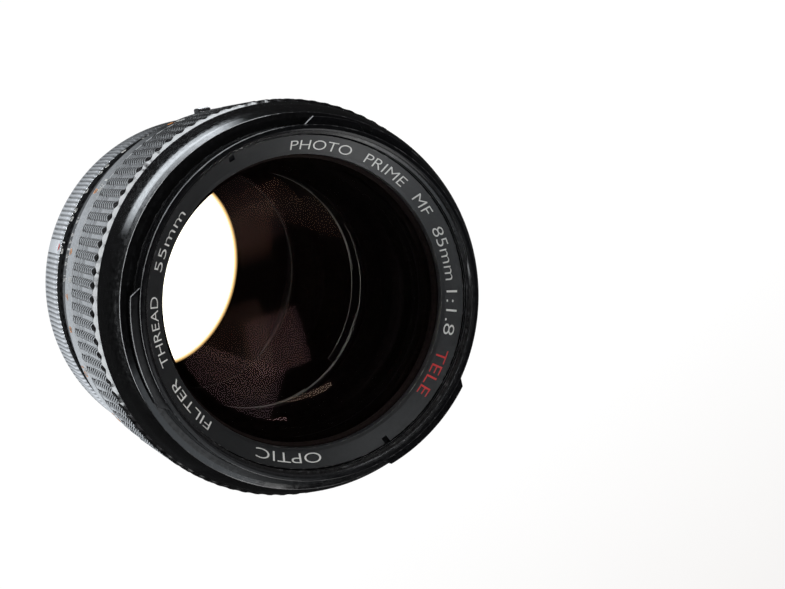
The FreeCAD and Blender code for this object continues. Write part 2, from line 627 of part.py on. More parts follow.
def breech_claw_ring():
    """Steel ring with three inward claws, carried by the breech ring."""
    ring = tube(30.0, FLANGE_R + RUN, *CLAW_Z)
    claws = [sector(CLAW_BORE, 30.1, CLAW_Z[0], CLAW_Z[1], 30.0 + 120.0 * n, CLAW_SWEEP)
             for n in range(3)]
    return fuse_all([ring] + claws)


# ---------------------------------------------------------------- all the pieces
def main():
    os.makedirs("parts", exist_ok=True)
    save("front_barrel", front_barrel())
    save("front_sleeve", front_sleeve())
    save("name_ring", name_ring())
    save("front_retainer", front_retainer())
    save("front_cell", front_cell())
    save("front_spacer", tube(22.3, 24.3, 45.65, 51.3))
    save("sliding_barrel", sliding_barrel())
    save("lens_1", glass(0, 1, LENS_R[0]))
    save("lens_2", glass(2, 3, LENS_R[1]))
    save("lens_3", glass(3, 4, LENS_R[2], rear_reach=14.4, corner=[(22.0, 34.0), (15.4, 30.36)]))
    save("iris_cover", iris_cover())
    save("iris_housing", iris_housing())
    save("rear_group_ring", tube(14.9, 17.7, 26.15, 26.6))
    save("lens_4", glass(5, 6, LENS_R[3], front_reach=14.6))
    save("lens_5", glass(6, 7, LENS_R[4]))
    save("lens_6", glass(8, 9, LENS_R[5]))
    save("rear_cell", rear_cell().cut(Part.makeCompound(rear_cell_screws())))
    save("rear_cell_screws", *rear_cell_screws())
    save("rear_spacer", tube(15.4, 16.2, 12.0, 17.0))
    save("rear_retainer", tube(15.2, 16.2, 9.2, 10.25))
    save("iris_drive_ring", iris_drive_ring())
    for number in range(BLADES):
        save("iris_blade_" + str(number + 1), iris_blade(number))
    save("stop_down_ring", stop_down_ring())
    save("aperture_ring", aperture_ring())
    save("signal_lever", signal_lever())
    save("lock_button", lock_button())
    save("focus_ring", cut_all(focus_ring(), focus_screw_pins(0.75)))
    save("focus_ring_screws", *focus_screw_pins(0.7))
    save("helicoid_sleeve", helicoid_sleeve())
    save("focus_grip", focus_grip())
    save("mount_plate", mount_plate())
    save("mount_screws", *mount_screws())
    save("fixed_barrel", fixed_barrel())
    save("guide_keys", *[guide_key(angle) for angle in KEY_ANGLES])
    save("index_ring", index_ring())
    save("index_ring_screws", *index_ring_screws(0.8))
    save("rear_guard", rear_guard())
    save("click_ball", Part.makeSphere(BALL_R, polar(FIXED_R - 0.65, CLICK_ANGLE, CLICK_Z)))
    save("click_spring", click_spring())
    save("click_spring_screw", radial_pin(0.6, 28.4, FIXED_R - 0.1, CLICK_ANGLE - 12, CLICK_Z))
    save("breech_ring", breech_ring())
    save("breech_index_dot", radial_pin(0.9, BREECH_R - 0.9, BREECH_R - 0.1, INDEX_ANGLE,
                                        BREECH_Z[1] - 1.6))
    save("breech_claw_ring", breech_claw_ring())


main()
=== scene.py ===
"""Looks of the short telephoto prime lens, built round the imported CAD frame.

Lengths are written in millimetres and angles in degrees, in the CAD frame: +Z is the optical axis with the
front of the lens up, z = 0 is the camera flange, and polar angle 90 points to the index mark.
"""
import json
import math

import bmesh
import bpy
from mathutils import Matrix, Vector


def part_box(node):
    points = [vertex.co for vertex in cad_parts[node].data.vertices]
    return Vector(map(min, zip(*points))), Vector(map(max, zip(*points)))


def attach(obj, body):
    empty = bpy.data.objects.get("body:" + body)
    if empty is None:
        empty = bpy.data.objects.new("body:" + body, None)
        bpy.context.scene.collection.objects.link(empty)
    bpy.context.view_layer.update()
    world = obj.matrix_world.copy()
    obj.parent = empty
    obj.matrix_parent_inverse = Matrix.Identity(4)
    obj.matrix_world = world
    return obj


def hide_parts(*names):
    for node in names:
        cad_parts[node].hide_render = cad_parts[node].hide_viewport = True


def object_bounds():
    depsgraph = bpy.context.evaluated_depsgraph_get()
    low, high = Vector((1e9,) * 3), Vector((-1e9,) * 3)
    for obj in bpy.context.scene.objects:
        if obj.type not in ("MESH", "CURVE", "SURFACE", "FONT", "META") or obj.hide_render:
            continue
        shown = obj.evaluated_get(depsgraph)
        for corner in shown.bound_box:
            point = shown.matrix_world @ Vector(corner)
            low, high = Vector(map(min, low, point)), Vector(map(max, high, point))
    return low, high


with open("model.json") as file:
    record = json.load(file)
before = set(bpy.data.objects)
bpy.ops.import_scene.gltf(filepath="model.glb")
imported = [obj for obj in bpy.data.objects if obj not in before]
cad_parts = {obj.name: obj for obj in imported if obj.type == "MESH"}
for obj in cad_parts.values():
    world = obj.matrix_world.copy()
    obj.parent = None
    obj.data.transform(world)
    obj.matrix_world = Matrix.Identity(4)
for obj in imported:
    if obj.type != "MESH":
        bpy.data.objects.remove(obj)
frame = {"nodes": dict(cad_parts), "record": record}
cad_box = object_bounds()

MM = 0.001
MERGE_DISTANCE = 2e-7           # metres
RECORD = frame["record"]
BODY_OF = {node: body for body, nodes in RECORD["behaviour"]["bodies"].items() for node in nodes}
SLOT_OF = {row["node"]: row["material_slot"] for row in RECORD["subparts"]}

# ---------------------------------------------------------------- driving dimensions
SEGMENTS = 288                  # facets round a turned piece
CORNER_STEPS = 4                # facets round a rounded edge
EDGE_R = 0.09                   # usual rounding of a turned edge
SHARP_EDGE = 38.0               # angle above which an edge is shaded sharp
STEP_GAP = 0.04                 # half the angle over which an outline may step
INDEX_ANGLE = 90.0

# front
RIM_R, RIM_Z = 28.6, 61.5
FILTER_R = 27.5
THREAD_CREST_R = 27.12
THREAD_PITCH = 0.75
THREAD_Z = (59.0, 61.05)
THREAD_HALF_ROOT, THREAD_HALF_CREST = 0.33, 0.05
THREAD_SINK = 0.04              # how far the ridge reaches into the wall
THREAD_RUNOUT = 20              # steps over which the ridge fades at each end
LUG_R, LUG_Z, LUG_HEIGHT = 29.9, 59.6, 1.2
LUG_CHAMFER = 0.14
LUG_ANGLES = (-3.0, 117.0, 237.0)
LUG_HALF_ROOT, LUG_HALF_TIP = 20.5, 17.25
LUG_STEPS = 164
LUG_SUNK = 0.3                  # how far a lug reaches into the rim
STOP_NOTCH = (-3.0, 2.0)        # edges of the stop notch, from the middle of its lug
STOP_NOTCH_SLANT = 2.5
CONE_INNER, CONE_OUTER = (24.2, 56.55), (27.0, 58.8)    # front face of the name ring
LIP_R = 24.5                    # outer edge of the chamfer round the glass
NOTCH_ANGLES = (43.0, 223.0)
NOTCH_HALF_ANGLE = 1.05
NOTCH_R, NOTCH_FLOOR_Z = 26.15, 57.7

# focusing ring and grip
FOCUS_EXTENSION = 4.4
FOCUS_TURN_PER_MM = 20.0
SCALE_R = 33.2
GRIP_RIBS = 92
RIB_CREST_ANGLE = 0.71
GRIP_CREST_R, GRIP_VALLEY_R = 33.35, 32.85
GRIP_Z = (29.5, 48.3)
GRIP_SEAT_R = 32.3
RIB_GROOVES = 11                # fine grooves across each rib
RIB_GROOVE_DEPTH = 0.22
GROOVE_SHAPE = ((0.0, 0.0), (0.5, 0.0), (0.53, 0.35), (0.58, 1.0), (0.86, 1.0))  # shares of pitch, depth
GRIP_RAMP = 8.0                 # length over which the valleys rise to the scale band
RIB_SHARE = 0.7                 # share of the pitch that a rib takes up; the rest is flat valley
RIB_STEPS = (-1.0, -0.7, -0.62, -0.5, -0.25, 0.0, 0.25, 0.5, 0.62, 0.7)    # shares of half a pitch
COLLAR_R, COLLAR_Z, BEVEL_R, BEVEL_Z = 33.3, 48.55, 32.65, 49.35
LEAF_DROP, LEAF_REACH = 0.25, 0.42     # where a rib's front facet ends on the collar's bevel

# rear rings
INDEX_RING_R, INDEX_RING_Z = 32.0, (14.2, 18.6)
APERTURE_RING_R, APERTURE_RING_Z = 32.0, (8.1, 13.9)
APERTURE_TEETH = 120
BREECH_R, BREECH_Z = 32.4, (-2.8, 7.8)
BREECH_TEETH = 216
BREECH_TOOTH_DEPTH = 0.26
TOOTH_GAP_SHADE = 1.0                # painted shade: how dark the gaps between the teeth are painted

# optics: surface radius (positive bulges to the front) and vertex height, from front to rear
SURFACES = ((54.8, 58.4), (122.8, 53.9), (34.1, 53.55), (300.0, 43.05), (22.05, 35.65),
            (-22.38, 20.65), (-86.0, 17.35), (-31.3, 13.05), (168.0, 12.65), (-93.8, 9.1))
GLASS_RINGS = 40                # rings of facets on a glass surface
GLASS_SEGMENTS = 192
FOCAL_LENGTH = 85.0

# figures
PAINT_RISE = 0.015              # paint stands this far off the surface
PAINT_DEPTH = 0.03
NAME_BASELINE_R = 24.72
NAME_MIDDLE_R = NAME_BASELINE_R + 0.7
NAME_CAP_HEIGHT = 1.86          # measured up the cone
NAME_WORDS = (                  # words, and the angles where they start and end
    ("PHOTO", 20.4, -3.3), ("PRIME", -9.3, -27.5), ("MF", -34.0, -42.5), ("85mm", -48.5, -69.5),
    ("1:1.8", -73.5, -90.5), ("FILTER", 152.5, 131.0), ("THREAD", 125.0, 100.0), ("55mm", 91.0, 68.0),
    ("OPTIC", 198.0, 172.5))
NAME_RED_WORDS = (("TELE", -96.5, -115.5),)
DISTANCES_FEET = ("3", "3.5", "4", "5", "6", "7", "8", "10", "15", "30")
DISTANCES_METRES = ("0.9", "1", "1.2", "1.5", "2", "3", "5", "10")
DISTANCE_HEIGHT = 1.9
FEET_Z, METRES_Z, INFINITY_Z = 24.3, 27.0, 26.2
INFINITY_HEIGHT, INFINITY_SHIFT = 1.5, 0.9
TICK_SIZE, TICK_Z, LOW_TICK_Z = (0.22, 0.9), 28.35, 23.7
INDEX_LINE, INDEX_LINE_Z = (0.35, 3.0), 14.9
DEPTH_LINE, DEPTH_LINE_Z = (0.18, 1.2), 16.7
DEPTH_HEIGHT, DEPTH_Z = 1.1, 15.2
DEPTH_STOPS = (4, 8, 11, 16)
BLUR_CIRCLE = 0.03
STOPS = (("1.8", 0.0), ("2.8", 11.5), ("4", 20.5), ("5.6", 29.5), ("8", 38.5), ("11", 47.5), ("16", 56.5))
AUTO_ANGLE = 65.5               # past the index mark, as the clicks of the stops are
STOP_HEIGHT, STOP_Z = 1.6, 9.2

# camera
VIEW_YAW = math.radians(22.54)
VIEW_PITCH = math.radians(-3.84)
VIEW_ROLL = math.radians(78.0)
RIM_IN_VIEW = Vector((-0.01199, -0.00155, -0.2337))     # middle of the front rim, from the camera
CAMERA_LENS = 67.23

# light table
FLOOR_HALF_SIZE = 2.0           # metres
FLOOR_GAP = 0.0002              # metres
PAINTED_GLOW_SPOT = (0.0, 0.0)        # painted light: patch of the table that glows under the lens and shows through the glass
PAINTED_GLOW_R = 12.4
PAINTED_GLOW_STRENGTH = 2.6
POOL_GLOW = 1.25                # painted reflection: brightness the table shows only in reflections, close to the lens
STRIP_GLOW = 9.5                # painted highlight: strip of the table, bright only in reflections, that gives the sleeve its highlight
STRIP_R = (96.0, 150.0)
STRIP_AZIMUTH = (18.0, 80.0)
STRIP_SOFT, STRIP_FADE = 4.0, 12.0      # soft edges of the strip, across and along
SHADE_R = (30.0, 32.0)          # the table is dark inside this and lit outside
POOL_RISE_R, POOL_FALL_R = (33.0, 37.0), (42.0, 52.0)
POOL_AZIMUTH = (32.0, 78.0)     # the pool fades in over these angles
DIM_CORNER = (-320.0, -90.0)    # painted soft shade: x + y over which the table turns greyer

# lights
PANEL_RANGE = 300.0
PANEL_TARGET = (0, 0, 55)
HIGH_PANEL_TARGET = (0, 0, 60)


# ---------------------------------------------------------------- mesh helpers
def polar(radius, angle, z=0.0):
    """Point in metres from a radius, an angle and a height."""
    turn = math.radians(angle)
    return Vector((radius * math.cos(turn), radius * math.sin(turn), z)) * MM


def rounded(corners, edge_radius=EDGE_R):
    """Closed outline of (r, z) corners with its edges rounded, as (r, z, wear) points.

    The corners run anticlockwise, with z up.  A corner may carry its own edge radius.
    Wear is 1 on an edge that stands proud and 0 elsewhere.
    """
    points = []
    for number, corner in enumerate(corners):
        here = Vector(corner[:2])
        radius = corner[2] if len(corner) > 2 else edge_radius
        back = Vector(corners[number - 1][:2]) - here
        ahead = Vector(corners[(number + 1) % len(corners)][:2]) - here
        turn = math.pi - abs(back.angle(ahead) if back.length * ahead.length else 0.0)
        reach = min(radius * math.tan(turn / 2), 0.45 * back.length, 0.45 * ahead.length)
        proud = back.x * ahead.y - back.y * ahead.x < 0 and turn > math.radians(30)
        start = here + back.normalized() * reach
        end = here + ahead.normalized() * reach
        for step in range(CORNER_STEPS + 1):
            t = step / CORNER_STEPS
            spot = start * (1 - t) ** 2 + here * 2 * t * (1 - t) + end * t ** 2
            points.append((spot.x, spot.y, math.sin(math.pi * t) if proud else 0.0))
    return points


def even_angles(count, breaks=()):
    """Even angles round the ring, with a close pair at each break so that a step there is sharp."""
    angles = {360.0 * n / count for n in range(count)}
    for angle in breaks:
        angles.update(((angle - STEP_GAP) % 360, (angle + STEP_GAP) % 360))
    return sorted(angles)


def ring_mesh(name, angles, outline_at, whole=True):
    """Surface through the closed outline that outline_at gives at each angle."""
    sections = [outline_at(angle) for angle in angles]
    rows = len(sections[0])
    vertices = []
    wear_and_groove_shade = []
    for angle, outline in zip(angles, sections):
        for radius, z, edge in outline:
            vertices.append(polar(radius, angle, z))
            wear_and_groove_shade.append(edge)
    faces = []
    columns = len(angles)
    for i in range(columns if whole else columns - 1):
        ahead = (i + 1) % columns
        for j in range(rows):
            up = (j + 1) % rows
            faces.append((i * rows + j, ahead * rows + j, ahead * rows + up, i * rows + up))
    if not whole:
        faces.append(tuple(range(rows)))
        faces.append(tuple(reversed(range((columns - 1) * rows, columns * rows))))
    mesh = bpy.data.meshes.new(name)
    mesh.from_pydata(vertices, [], faces)
    mesh.attributes.new("wear_and_groove_shade", "FLOAT", "POINT").data.foreach_set("value", wear_and_groove_shade)
    return mesh


def clean(mesh):
    """Joins points that fall together and drops the faces that closes up."""
    work = bmesh.new()
    work.from_mesh(mesh)
    bmesh.ops.remove_doubles(work, verts=work.verts, dist=MERGE_DISTANCE)
    bmesh.ops.dissolve_degenerate(work, edges=work.edges, dist=MERGE_DISTANCE / 2)
    work.to_mesh(mesh)
    work.free()


def place(name, mesh, material, body, slot, replaces=(), sharp=SHARP_EDGE):
    """Finished piece from a mesh: shaded, painted and riding on its CAD body."""
    clean(mesh)
    mesh.shade_smooth()
    mesh.set_sharp_from_angle(angle=math.radians(sharp))
    piece = bpy.data.objects.new(name, mesh)
    bpy.context.collection.objects.link(piece)
    piece.data.materials.append(material)
    weighted = piece.modifiers.new("face_weighted_normals", "WEIGHTED_NORMAL")
    weighted.keep_sharp = True
    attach(piece, body)
    if replaces:
        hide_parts(*replaces)
    return piece


def stand_in(name, node, mesh, material, sharp=SHARP_EDGE):
    """Detailed piece that replaces one CAD node and takes its body."""
    return place(name, mesh, material, BODY_OF[node], SLOT_OF[node], [node], sharp)


def turned(name, node, corners, material, edge_radius=EDGE_R):
    """Turned piece that replaces a CAD node of the same outline."""
    outline = rounded(corners, edge_radius)
    mesh = ring_mesh(name, even_angles(SEGMENTS), lambda angle: outline)
    return stand_in(name, node, mesh, material)


# ---------------------------------------------------------------- material helpers
class Recipe:
    """Node material under construction, with texture space in millimetres."""

    def __init__(self, name):
        self.material = bpy.data.materials.new(name)
        self.material.use_nodes = True
        self.tree = self.material.node_tree
        self.shader = self.tree.nodes["Principled BSDF"]
        coordinates = self.node("ShaderNodeTexCoord")
        scale = self.node("ShaderNodeMapping")
        scale.inputs["Scale"].default_value = (1 / MM, 1 / MM, 1 / MM)
        self.link(coordinates.outputs["Object"], scale.inputs["Vector"])
        self.space = scale.outputs["Vector"]

    def node(self, kind, **settings):
        """New node with its settings."""
        made = self.tree.nodes.new(kind)
        for key, value in settings.items():
            setattr(made, key, value)
        return made

    def link(self, source, target):
        self.tree.links.new(source, target)

    def set(self, **inputs):
        """Constants go straight onto the shader's sockets."""
        for key, value in inputs.items():
            socket = self.shader.inputs[key.replace("_", " ")]
            socket.default_value = (*value, 1.0) if isinstance(value, tuple) else value

    def stored(self, name):
        """Value that the mesh stores on its points under a name."""
        made = self.node("ShaderNodeAttribute", attribute_type="GEOMETRY", attribute_name=name)
        return made.outputs["Fac"]

    def math(self, operation, first, second=None, third=None):
        """Result of a sum whose inputs are numbers or sockets."""
        made = self.node("ShaderNodeMath", operation=operation)
        for socket, value in zip(made.inputs, (first, second, third)):
            if value is None:
                continue
            if isinstance(value, (int, float)):
                socket.default_value = value
            else:
                self.link(value, socket)
        return made.outputs[0]

    def noise(self, scale, detail=3.0, space=None):
        """Noise texture, with its scale per millimetre."""
        made = self.node("ShaderNodeTexNoise")
        made.inputs["Scale"].default_value = scale
        made.inputs["Detail"].default_value = detail
        self.link(space or self.space, made.inputs["Vector"])
        return made.outputs["Fac"]

    def spread(self, source, low, high, start=0.3, end=0.7):
        """Remaps a texture so that start..end becomes low..high."""
        made = self.node("ShaderNodeMapRange")
        for key, value in (("From Min", start), ("From Max", end), ("To Min", low), ("To Max", high)):
            made.inputs[key].default_value = value
        self.link(source, made.inputs["Value"])
        return made.outputs["Result"]

    def blend(self, factor, first, second):
        """Colour between two colours or colour sockets."""
        made = self.node("ShaderNodeMix", data_type="RGBA")
        self.link(factor, made.inputs[0])
        for socket, value in ((made.inputs[6], first), (made.inputs[7], second)):
            if isinstance(value, tuple):
                socket.default_value = (*value, 1.0)
            else:
                self.link(value, socket)
        return made.outputs[2]

    def turning_space(self, fineness):
        """Texture space that is fine along the outline and long round the axis, for lathe marks."""
        split = self.node("ShaderNodeSeparateXYZ")
        self.link(self.space, split.inputs[0])
        x, y, z = split.outputs
        radius = self.math("SQRT", self.math("ADD", self.math("MULTIPLY", x, x),
                                             self.math("MULTIPLY", y, y)))
        joined = self.node("ShaderNodeCombineXYZ")
        self.link(self.math("MULTIPLY", radius, fineness), joined.inputs[0])
        self.link(self.math("MULTIPLY", z, fineness), joined.inputs[1])
        self.link(self.math("MULTIPLY", self.math("ARCTAN2", y, x), 1.5), joined.inputs[2])
        return joined.outputs[0]

    def bump(self, height, depth, after=None):
        """Relief of a depth in millimetres."""
        made = self.node("ShaderNodeBump")
        made.inputs["Strength"].default_value = 1.0
        made.inputs["Distance"].default_value = depth * MM
        self.link(height, made.inputs["Height"])
        if after:
            self.link(after, made.inputs["Normal"])
        self.link(made.outputs["Normal"], self.shader.inputs["Normal"])
        return made.outputs["Normal"]

    def wear_and_groove_shade(self, amount):
        """0 to 1 where a proud edge has lost its finish, broken up by noise."""
        edge = self.stored("wear_and_groove_shade")
        patchy = self.spread(self.noise(0.9, 5.0), -0.55, 0.9, 0.35, 0.7)
        rubbed = self.math("MULTIPLY_ADD", edge, 1.2, patchy)
        return self.math("MULTIPLY", self.spread(rubbed, 0.0, 1.0, 1.15, 1.7), amount)


def coated_metal(name, colour, rough, worn, specular=0.5, grain=0.0015, turning=0.002, dust=0.0,
                 bare=(0.42, 0.42, 0.43)):
    """Black finish on turned aluminium: lathe marks, mottling, and edges rubbed down to bare metal."""
    recipe = Recipe(name)
    mottle = recipe.spread(recipe.noise(1.6, 6.0), 0.0, 1.0)
    dark = tuple(0.75 * part for part in colour)
    light = tuple(1.35 * part for part in colour)
    base = recipe.blend(mottle, dark, light)
    rubbed = recipe.wear_and_groove_shade(worn)
    if dust:
        specks = recipe.spread(recipe.noise(7.0, 2.0), 0.0, dust, 0.76, 0.8)
        base = recipe.blend(specks, base, (0.35, 0.34, 0.32))
    recipe.link(recipe.blend(rubbed, base, bare), recipe.shader.inputs["Base Color"])
    recipe.link(rubbed, recipe.shader.inputs["Metallic"])
    marks = recipe.noise(1.0, 4.0, recipe.turning_space(9.0))
    uneven = recipe.math("ADD", recipe.spread(marks, -0.05, 0.05),
                         recipe.spread(mottle, rough - 0.03, rough + 0.05))
    recipe.link(uneven, recipe.shader.inputs["Roughness"])
    first = recipe.bump(marks, turning)
    recipe.bump(recipe.noise(14.0, 3.0), grain, first)
    recipe.set(Specular_IOR_Level=specular)
    return recipe.material


def bare_metal(name, colour, rough, turning=0.003, stain=0.25, grain=0.001):
    """Uncoated metal with turning marks, uneven polish, a little dirt, and painted shade between its teeth.
    """
    recipe = Recipe(name)
    marks = recipe.noise(1.0, 5.0, recipe.turning_space(11.0))
    # Painted shade between the teeth, which the mesh stores, adds to the random dirt.
    between = recipe.stored("stain_and_gap_shade")
    stain_and_gap_shade = recipe.math("ADD", recipe.spread(recipe.noise(0.7, 7.0), 0.0, stain, 0.5, 0.75), between)
    dull = tuple(0.12 * part for part in colour)
    recipe.link(recipe.blend(stain_and_gap_shade, colour, dull), recipe.shader.inputs["Base Color"])
    recipe.link(recipe.math("MULTIPLY_ADD", stain_and_gap_shade, 0.2, recipe.spread(marks, rough - 0.05, rough + 0.08)),
                recipe.shader.inputs["Roughness"])
    first = recipe.bump(marks, turning)
    recipe.bump(recipe.noise(10.0, 3.0), grain, first)
    recipe.set(Metallic=1.0)
    return recipe.material


def moulded_rubber(name, colour, rough):
    """Moulded rubber: fine pores, slight bloom and a soft sheen, with painted shade that makes it dark and
    dull down in its grooves.

    The grip's mesh stores how deep a point lies in a groove in the same point attribute that holds edge wear
    on turned pieces.
    """
    recipe = Recipe(name)
    bloom = recipe.spread(recipe.noise(0.8, 6.0), 0.0, 1.0, 0.4, 0.75)
    # Painted shade: groove depth darkens the base colour, roughens it and lowers its gloss down in the
    # grooves.
    groove_shade = recipe.stored("wear_and_groove_shade")
    worked = recipe.blend(bloom, colour, tuple(1.7 * part for part in colour))
    recipe.link(recipe.blend(groove_shade, worked, (0.002, 0.002, 0.002)), recipe.shader.inputs["Base Color"])
    polish = recipe.spread(bloom, rough - 0.03, rough + 0.05, 0.0, 1.0)
    recipe.link(recipe.math("MULTIPLY_ADD", groove_shade, 0.3, polish), recipe.shader.inputs["Roughness"])
    recipe.link(recipe.spread(groove_shade, 0.7, 0.02, 0.0, 0.6), recipe.shader.inputs["Specular IOR Level"])
    recipe.bump(recipe.noise(9.0, 4.0), 0.001)
    recipe.set(Sheen_Weight=0.03, Sheen_Roughness=0.4)
    return recipe.material


def filled_paint(name, colour, rough=0.45):
    """Paint wiped into engraved figures, slightly uneven."""
    recipe = Recipe(name)
    shade = recipe.spread(recipe.noise(5.0, 4.0), 0.0, 0.35)
    recipe.link(recipe.blend(shade, colour, tuple(0.6 * part for part in colour)),
                recipe.shader.inputs["Base Color"])
    recipe.link(recipe.spread(recipe.noise(8.0), rough - 0.1, rough + 0.1),
                recipe.shader.inputs["Roughness"])
    recipe.bump(recipe.noise(12.0, 2.0), 0.004)
    return recipe.material


def coated_glass(name, ior, tint):
    """Polished glass with a tinted anti-reflection coating."""
    recipe = Recipe(name)
    haze = recipe.spread(recipe.noise(0.35, 5.0), 0.0, 0.02, 0.45, 0.8)
    recipe.link(haze, recipe.shader.inputs["Roughness"])
    recipe.set(Base_Color=(0.97, 0.96, 0.93), Transmission_Weight=1.0, IOR=ior, Specular_Tint=tint,
               Specular_IOR_Level=0.5)
    return recipe.material


LACQUER = coated_metal("gloss_black_anodising", (0.003, 0.003, 0.0032), 0.16, 0.2, 0.5, grain=0.0006,
                       turning=0.0006, dust=0.06)
RIM_BLACK = coated_metal("satin_black_anodising", (0.004, 0.004, 0.0045), 0.16, 0.1, 0.3, grain=0.0001,
                         turning=0.0002, dust=0.06)
NAME_BLACK = coated_metal("matt_charcoal_anodising", (0.01, 0.0105, 0.011), 0.45, 0.5, 0.45, grain=0.003,
                          bare=(0.6, 0.6, 0.58))
INNER_BLACK = coated_metal("matt_optical_black", (0.01, 0.007, 0.0065), 0.8, 0.0, 0.02, grain=0.003)
RING_BLACK = coated_metal("satin_ring_black", (0.006, 0.006, 0.007), 0.42, 0.12, 0.15)
APERTURE_BLACK = coated_metal("matt_ring_black", (0.004, 0.004, 0.0045), 0.7, 0.1, 0.008)
THREAD_BLACK = coated_metal("dull_thread_black", (0.005, 0.0045, 0.0045), 0.3, 0.15, 0.4, grain=0.0002,
                            turning=0.0003)
RUBBER = moulded_rubber("black_grip_rubber", (0.012, 0.012, 0.013), 0.16)
SILVER = bare_metal("bright_satin_aluminium", (0.72, 0.72, 0.73), 0.14, turning=0.001, stain=0.15,
                    grain=0.0005)
MOUNT_METAL = bare_metal("turned_mount_steel", (0.62, 0.61, 0.6), 0.24, turning=0.005)
SCREW_METAL = bare_metal("plain_screw_steel", (0.5, 0.49, 0.48), 0.3)
BRASS = bare_metal("turned_brass", (0.7, 0.5, 0.22), 0.3)
BLADE_METAL = bare_metal("blackened_spring_steel", (0.04, 0.04, 0.045), 0.45, stain=0.4)
WHITE_PAINT = filled_paint("white_figure_paint", (0.72, 0.72, 0.69))
ORANGE_PAINT = filled_paint("orange_figure_paint", (0.85, 0.3, 0.04))
RED_PAINT = filled_paint("red_figure_paint", (0.62, 0.02, 0.02))
GREEN_PAINT = filled_paint("green_figure_paint", (0.05, 0.4, 0.12))
RED_ENAMEL = filled_paint("red_index_enamel", (0.55, 0.03, 0.02), 0.2)
FRONT_GLASS = coated_glass("front_element_glass", 1.804, (0.1, 0.055, 0.06))
MIDDLE_GLASS = coated_glass("middle_element_glass", 1.71, (0.07, 0.035, 0.025))
REAR_GLASS = coated_glass("rear_element_glass", 1.72, (0.06, 0.03, 0.04))

SLOT_MATERIAL = {
    "black_anodised": RING_BLACK, "black_rubber": RUBBER, "silver_metal": SILVER,
    "mount_steel": MOUNT_METAL, "black_lacquer": INNER_BLACK, "coated_glass": FRONT_GLASS,
    "iris_steel": BLADE_METAL, "brass": BRASS, "red_enamel": RED_ENAMEL, "screw_steel": SCREW_METAL}


# ---------------------------------------------------------------- front of the optical unit
def front_ring():
    """Filter ring in one piece with the front of the barrel."""
    turned("front_ring", "front_barrel", [
        (27.4, 50.0), (28.7, 50.0), (28.7, 57.3, 0.02), (RIM_R, 57.32, 0.02), (RIM_R, RIM_Z, 0.35),
        (27.85, RIM_Z, 0.06), (FILTER_R, 61.15, 0.05), (FILTER_R, 58.9), (27.2, 58.9), (27.2, 55.0),
        (26.55, 55.0), (26.55, 53.0), (27.4, 53.0)], RIM_BLACK)


def lug_reach(offset, has_stop):
    """Outer radius of a hood lug at an angle from its middle."""
    root = RIM_R - 0.2
    slope = (LUG_HALF_ROOT - abs(offset)) / (LUG_HALF_ROOT - LUG_HALF_TIP)
    reach = root + (LUG_R - root) * min(1.0, max(0.0, slope))
    if has_stop and STOP_NOTCH[0] <= offset <= STOP_NOTCH[1]:
        rise = (offset - STOP_NOTCH[1] + STOP_NOTCH_SLANT) / STOP_NOTCH_SLANT
        floor = RIM_R + 0.1
        reach = floor + (LUG_R - floor) * min(1.0, max(0.0, rise))
    return reach


def hood_lugs():
    """Three lugs of the hood bayonet; one has a stop notch."""
    for number, middle in enumerate(LUG_ANGLES):
        def section(angle, middle=middle, has_stop=number == 0):
            reach = lug_reach(angle - middle, has_stop)
            chamfer = min(LUG_CHAMFER, 0.45 * (reach - RIM_R + 0.25))
            top = LUG_Z + LUG_HEIGHT
            return rounded([(RIM_R - LUG_SUNK, LUG_Z), (reach, LUG_Z), (reach, top - chamfer, 0.05),
                            (reach - chamfer, top, 0.05), (RIM_R - LUG_SUNK, top)], 0.06)
        offsets = [LUG_HALF_ROOT * (2 * n / LUG_STEPS - 1) for n in range(LUG_STEPS + 1)]
        if number == 0:
            offsets += [STOP_NOTCH[0] - STEP_GAP, STOP_NOTCH[0] + STEP_GAP]
        angles = [middle + offset for offset in sorted(offsets)]
        mesh = ring_mesh("hood_lug", angles, section, whole=False)
        place("hood_lug_" + str(number + 1), mesh, RIM_BLACK, "optical_unit", "black_anodised")


def filter_thread():
    """Helical ridge inside the rim that filters screw into."""
    rise = THREAD_PITCH / SEGMENTS
    root = FILTER_R + THREAD_SINK
    low, high = THREAD_Z[0] + THREAD_HALF_ROOT, THREAD_Z[1] - THREAD_HALF_ROOT
    steps = int((high - low) / rise)
    vertices = []
    for step in range(steps + 1):
        z = low + step * rise
        taper = min(1.0, step / THREAD_RUNOUT, (steps - step) / THREAD_RUNOUT)
        crest = root - (root - THREAD_CREST_R) * taper
        angle = 360.0 * step / SEGMENTS
        for radius, offset in ((root, -THREAD_HALF_ROOT), (root, THREAD_HALF_ROOT),
                               (crest, THREAD_HALF_CREST), (crest, -THREAD_HALF_CREST)):
            vertices.append(polar(radius, angle, z + offset))
    faces = [(3, 2, 1, 0)]
    for step in range(steps):
        for corner in range(4):
            turn = (corner + 1) % 4
            faces.append((4 * step + corner, 4 * step + 4 + corner, 4 * step + 4 + turn, 4 * step + turn))
    faces.append(tuple(4 * steps + corner for corner in range(4)))
    mesh = bpy.data.meshes.new("filter_thread")
    mesh.from_pydata(vertices, [], faces)
    crest_wear = [0.0, 0.0, 0.8, 0.8] * (steps + 1)
    mesh.attributes.new("wear_and_groove_shade", "FLOAT", "POINT").data.foreach_set("value", crest_wear)
    place("filter_thread_ridge", mesh, THREAD_BLACK, "optical_unit", "black_anodised", sharp=25.0)


def front_sleeve():
    """Glossy tapered sleeve behind the hood bayonet."""
    turned("front_sleeve_shell", "front_sleeve", [
        (28.72, 55.2), (29.92, 55.2), (31.2, 49.65), (32.8, 49.65, 0.15), (32.0, 53.9, 9.0),
        (31.35, 55.7, 6.0), (30.7, 57.0, 0.3), (29.8, 57.3, 0.15), (28.72, 57.3)], LACQUER)


